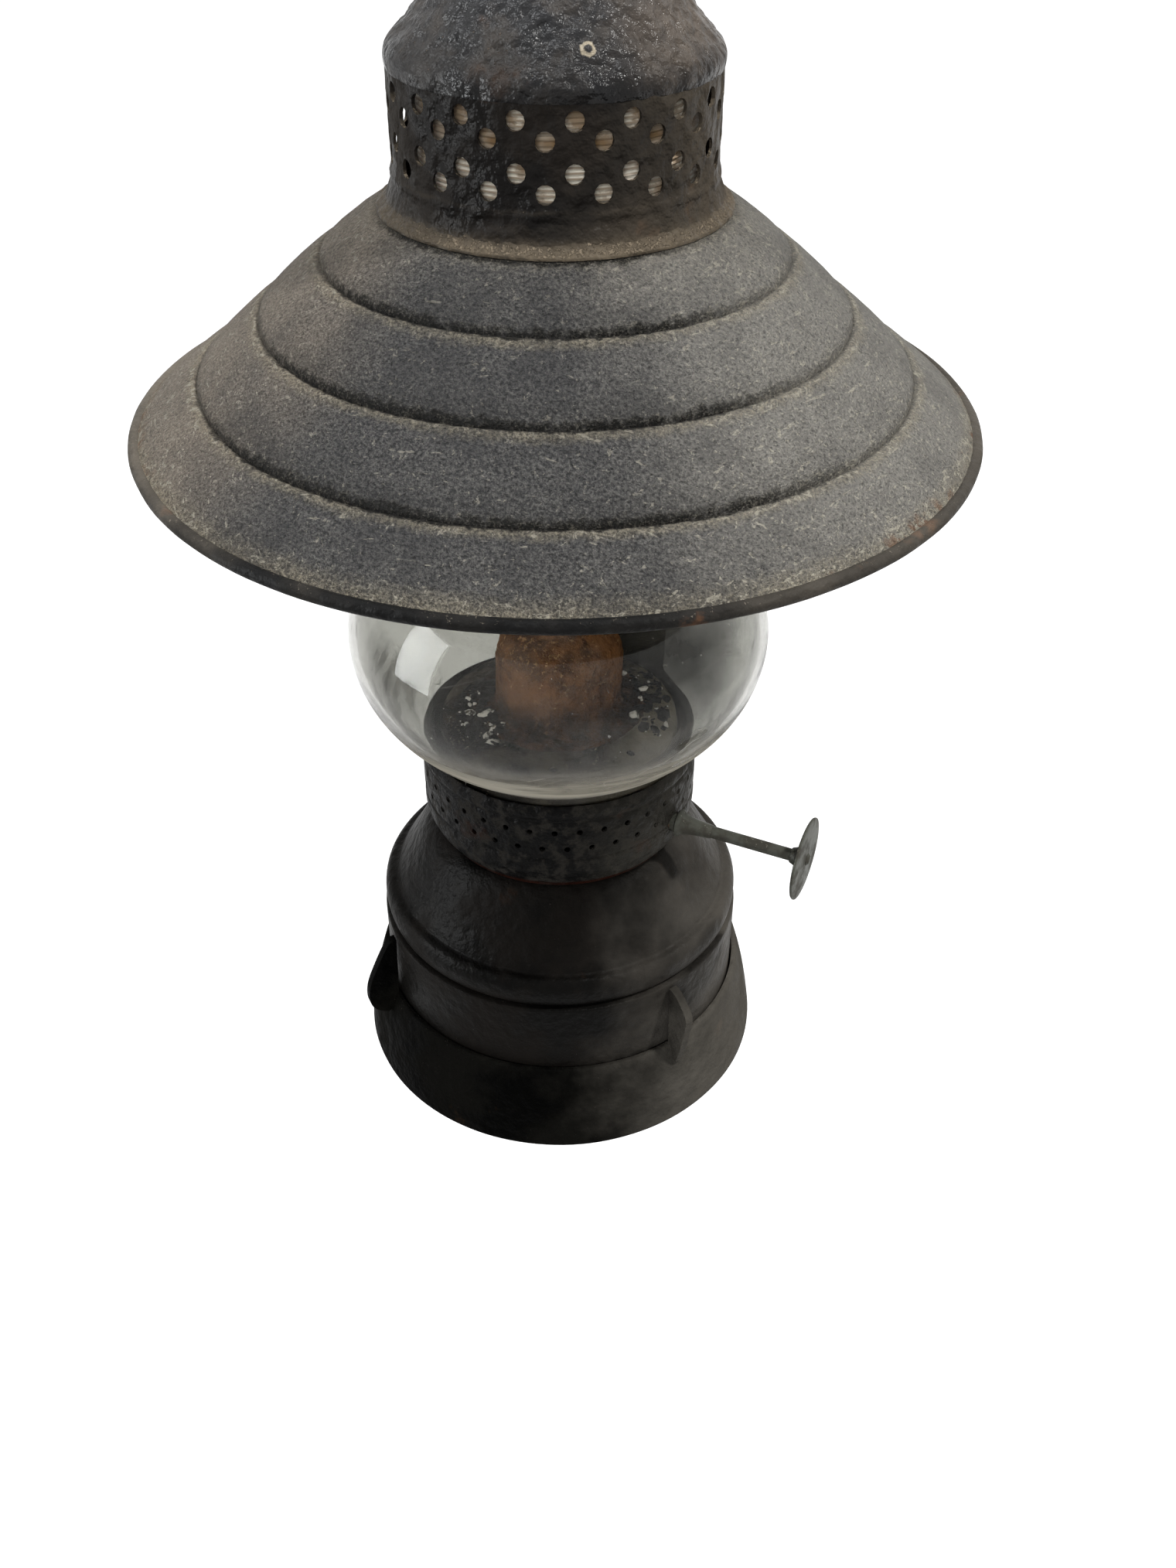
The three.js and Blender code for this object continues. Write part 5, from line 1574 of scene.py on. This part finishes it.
    def build(self) -> None:
        """Builds and dresses the holder and the bracket."""
        shaded_black, iron = HOLDER_BLACK_SHADED.material(), BRACKET_IRON.material()
        self.fit(self.holder(), shaded_black, Slot.HOLDER_IRON, "holder")
        for number, azimuth in enumerate(self.ear_azimuths, 1):
            ear = self.ear(self.high_ear if number == 2 else self.low_ear)
            ear.transform(about_axis(azimuth))
            self.fit(made(f"holder_ear_{number}", ear), shaded_black, Slot.HOLDER_IRON)
        self.fit(self.strap(), iron, Slot.BRACKET_IRON, "bracket_strap")
        self.fit(self.pad(), iron, Slot.BRACKET_IRON)
        self.fit(self.brace(), iron, Slot.BRACKET_IRON, "bracket_brace")
        for node, shape in self.rivets().items():
            self.fit(made(f"{node}_domed", shape), iron, Slot.BRACKET_IRON, node)


@dataclass
class Studio:
    """Camera, lights, pale floor and white surroundings."""

    camera_place: Triple = (0.103276, -0.526278, 0.368644)
    camera_turns: Triple = (52.17, 13.25, 0.4655)
    lens: float = 34.757
    floor_height: float = -0.62
    floor_size: float = 30.0
    floor_seen: Colour = (0.50, 0.50, 0.50)
    floor_unseen: Colour = (0.45, 0.45, 0.45)
    paper_reach: Span = (0.9, 2.0)
    paper_near: float = 0.84
    ambient: float = 0.06
    aim: Triple = (0.0, AXIS_Y, 0.05)

    def camera(self) -> None:
        """Places the camera where the photograph was taken from."""
        data = bpy.data.cameras.new("camera")
        data.lens, data.sensor_fit, data.sensor_height = self.lens, "VERTICAL", 36.0
        pitch, azimuth, roll = (math.radians(turn) for turn in self.camera_turns)
        camera = placed("camera", data)
        camera.matrix_world = (Matrix.Translation(self.camera_place) @ Matrix.Rotation(azimuth, 4, "Z")
                               @ Matrix.Rotation(pitch, 4, "X") @ Matrix.Rotation(roll, 4, "Z"))
        bpy.context.scene.camera = camera

    def lamp(self, name: str, azimuth: float, elevation: float, distance: float, size: Span, power: float,
             colour: Colour = WHITE) -> Piece:
        """Hangs a soft light that faces the object.

        Args:
            name: the light's name.
            azimuth: degrees from the front towards +X.
            elevation: degrees above the level.
            distance: metres from the aim.
            size: the light's width and height in metres.
            power: its power in watts.
            colour: its colour.

        Returns:
            The light.
        """
        data = bpy.data.lights.new(name, "AREA")
        data.shape, data.energy, data.color = "RECTANGLE", power, colour
        data.size, data.size_y = size
        light = placed(name, data)
        lean = math.radians(elevation)
        out = about_axis(azimuth) @ Vector((0, -math.cos(lean), math.sin(lean)))
        light.location = Vector(self.aim) + out * distance
        light.rotation_euler = out.to_track_quat("Z", "Y").to_euler()
        return light

    @staticmethod
    def seen_directly(sheet: Sheet) -> Socket:
        """Returns 1 for the camera's own rays and those through gloss and glass."""
        path = sheet.node("ShaderNodeLightPath")
        seen = sheet.most(path.outputs["Is Camera Ray"], path.outputs["Is Glossy Ray"])
        return sheet.most(seen, path.outputs["Is Transmission Ray"])

    def surroundings(self) -> None:
        """Makes a world that is white to the eye and dim as a light."""
        world = bpy.data.worlds.new("studio")
        world.use_nodes = True
        bpy.context.scene.world = world
        sheet = Sheet(world.node_tree)
        background = world.node_tree.nodes["Background"]
        strength = sheet.most(self.seen_directly(sheet), self.ambient)
        sheet.feed(background, {"Color": (*WHITE, 1.0), "Strength": strength})

    def floor(self) -> None:
        """Lays a pale floor that shows white and keeps the object's shadow."""
        bm = bmesh.new()
        bmesh.ops.create_grid(bm, x_segments=1, y_segments=1, size=self.floor_size,
                              matrix=Matrix.Translation((0, AXIS_Y, self.floor_height)))
        mesh = bpy.data.meshes.new("floor")
        bm.to_mesh(mesh)
        bm.free()
        floor = placed("floor", mesh)
        material, sheet, shader, place = new_material("floor")
        seen = self.seen_directly(sheet)
        away = sheet.node("ShaderNodeVectorMath", {0: place}, operation="LENGTH").outputs["Value"]
        paper = sheet.remap(away, *self.paper_reach, self.paper_near, 1.0)
        sheet.feed(shader, {"Base Color": sheet.mix(seen, self.floor_unseen, self.floor_seen),
                            "Roughness": 0.9, "Specular IOR Level": 0.0, "Emission Color": (*WHITE, 1.0),
                            "Emission Strength": sheet.times(seen, paper)})
        dress(mesh, material)

    def build(self) -> None:
        """Sets the studio up."""
        self.camera()
        self.surroundings()
        self.floor()
        self.lamp("key_right", 89.0, 60.2, 4.0, (0.26, 0.26), 124.0, (1.0, 0.985, 0.96))
        self.lamp("sky_above", -80.0, 70.0, 1.6, (0.60, 0.60), 11.0, (0.96, 0.98, 1.0))
        window = self.lamp("window_left", -64.0, 12.0, 1.5, (0.62, 1.1), 32.0, (0.97, 0.99, 1.0))
        window.visible_diffuse = False
        fill = self.lamp("front_fill", 10.0, 25.0, 1.6, (0.40, 0.40), 11.0)
        fill.visible_glossy = fill.visible_transmission = False
        bpy.context.scene.view_settings.view_transform = "Standard"


def main() -> None:
    """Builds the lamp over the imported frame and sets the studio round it."""
    logging.basicConfig(level=logging.INFO, format="%(name)s %(message)s")
    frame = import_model()
    nodes = frame["nodes"]
    Effects().build()
    Hood().build()
    Globe().build()
    burner = Burner()
    burner.build(nodes)
    Knob().build(burner, nodes)
    Wick().build(burner.wick_azimuth)
    Font().build(nodes)
    Mount().build()
    Studio().build()
    LOG.info("the lamp is ready")


if __name__ == "__main__":
    main()
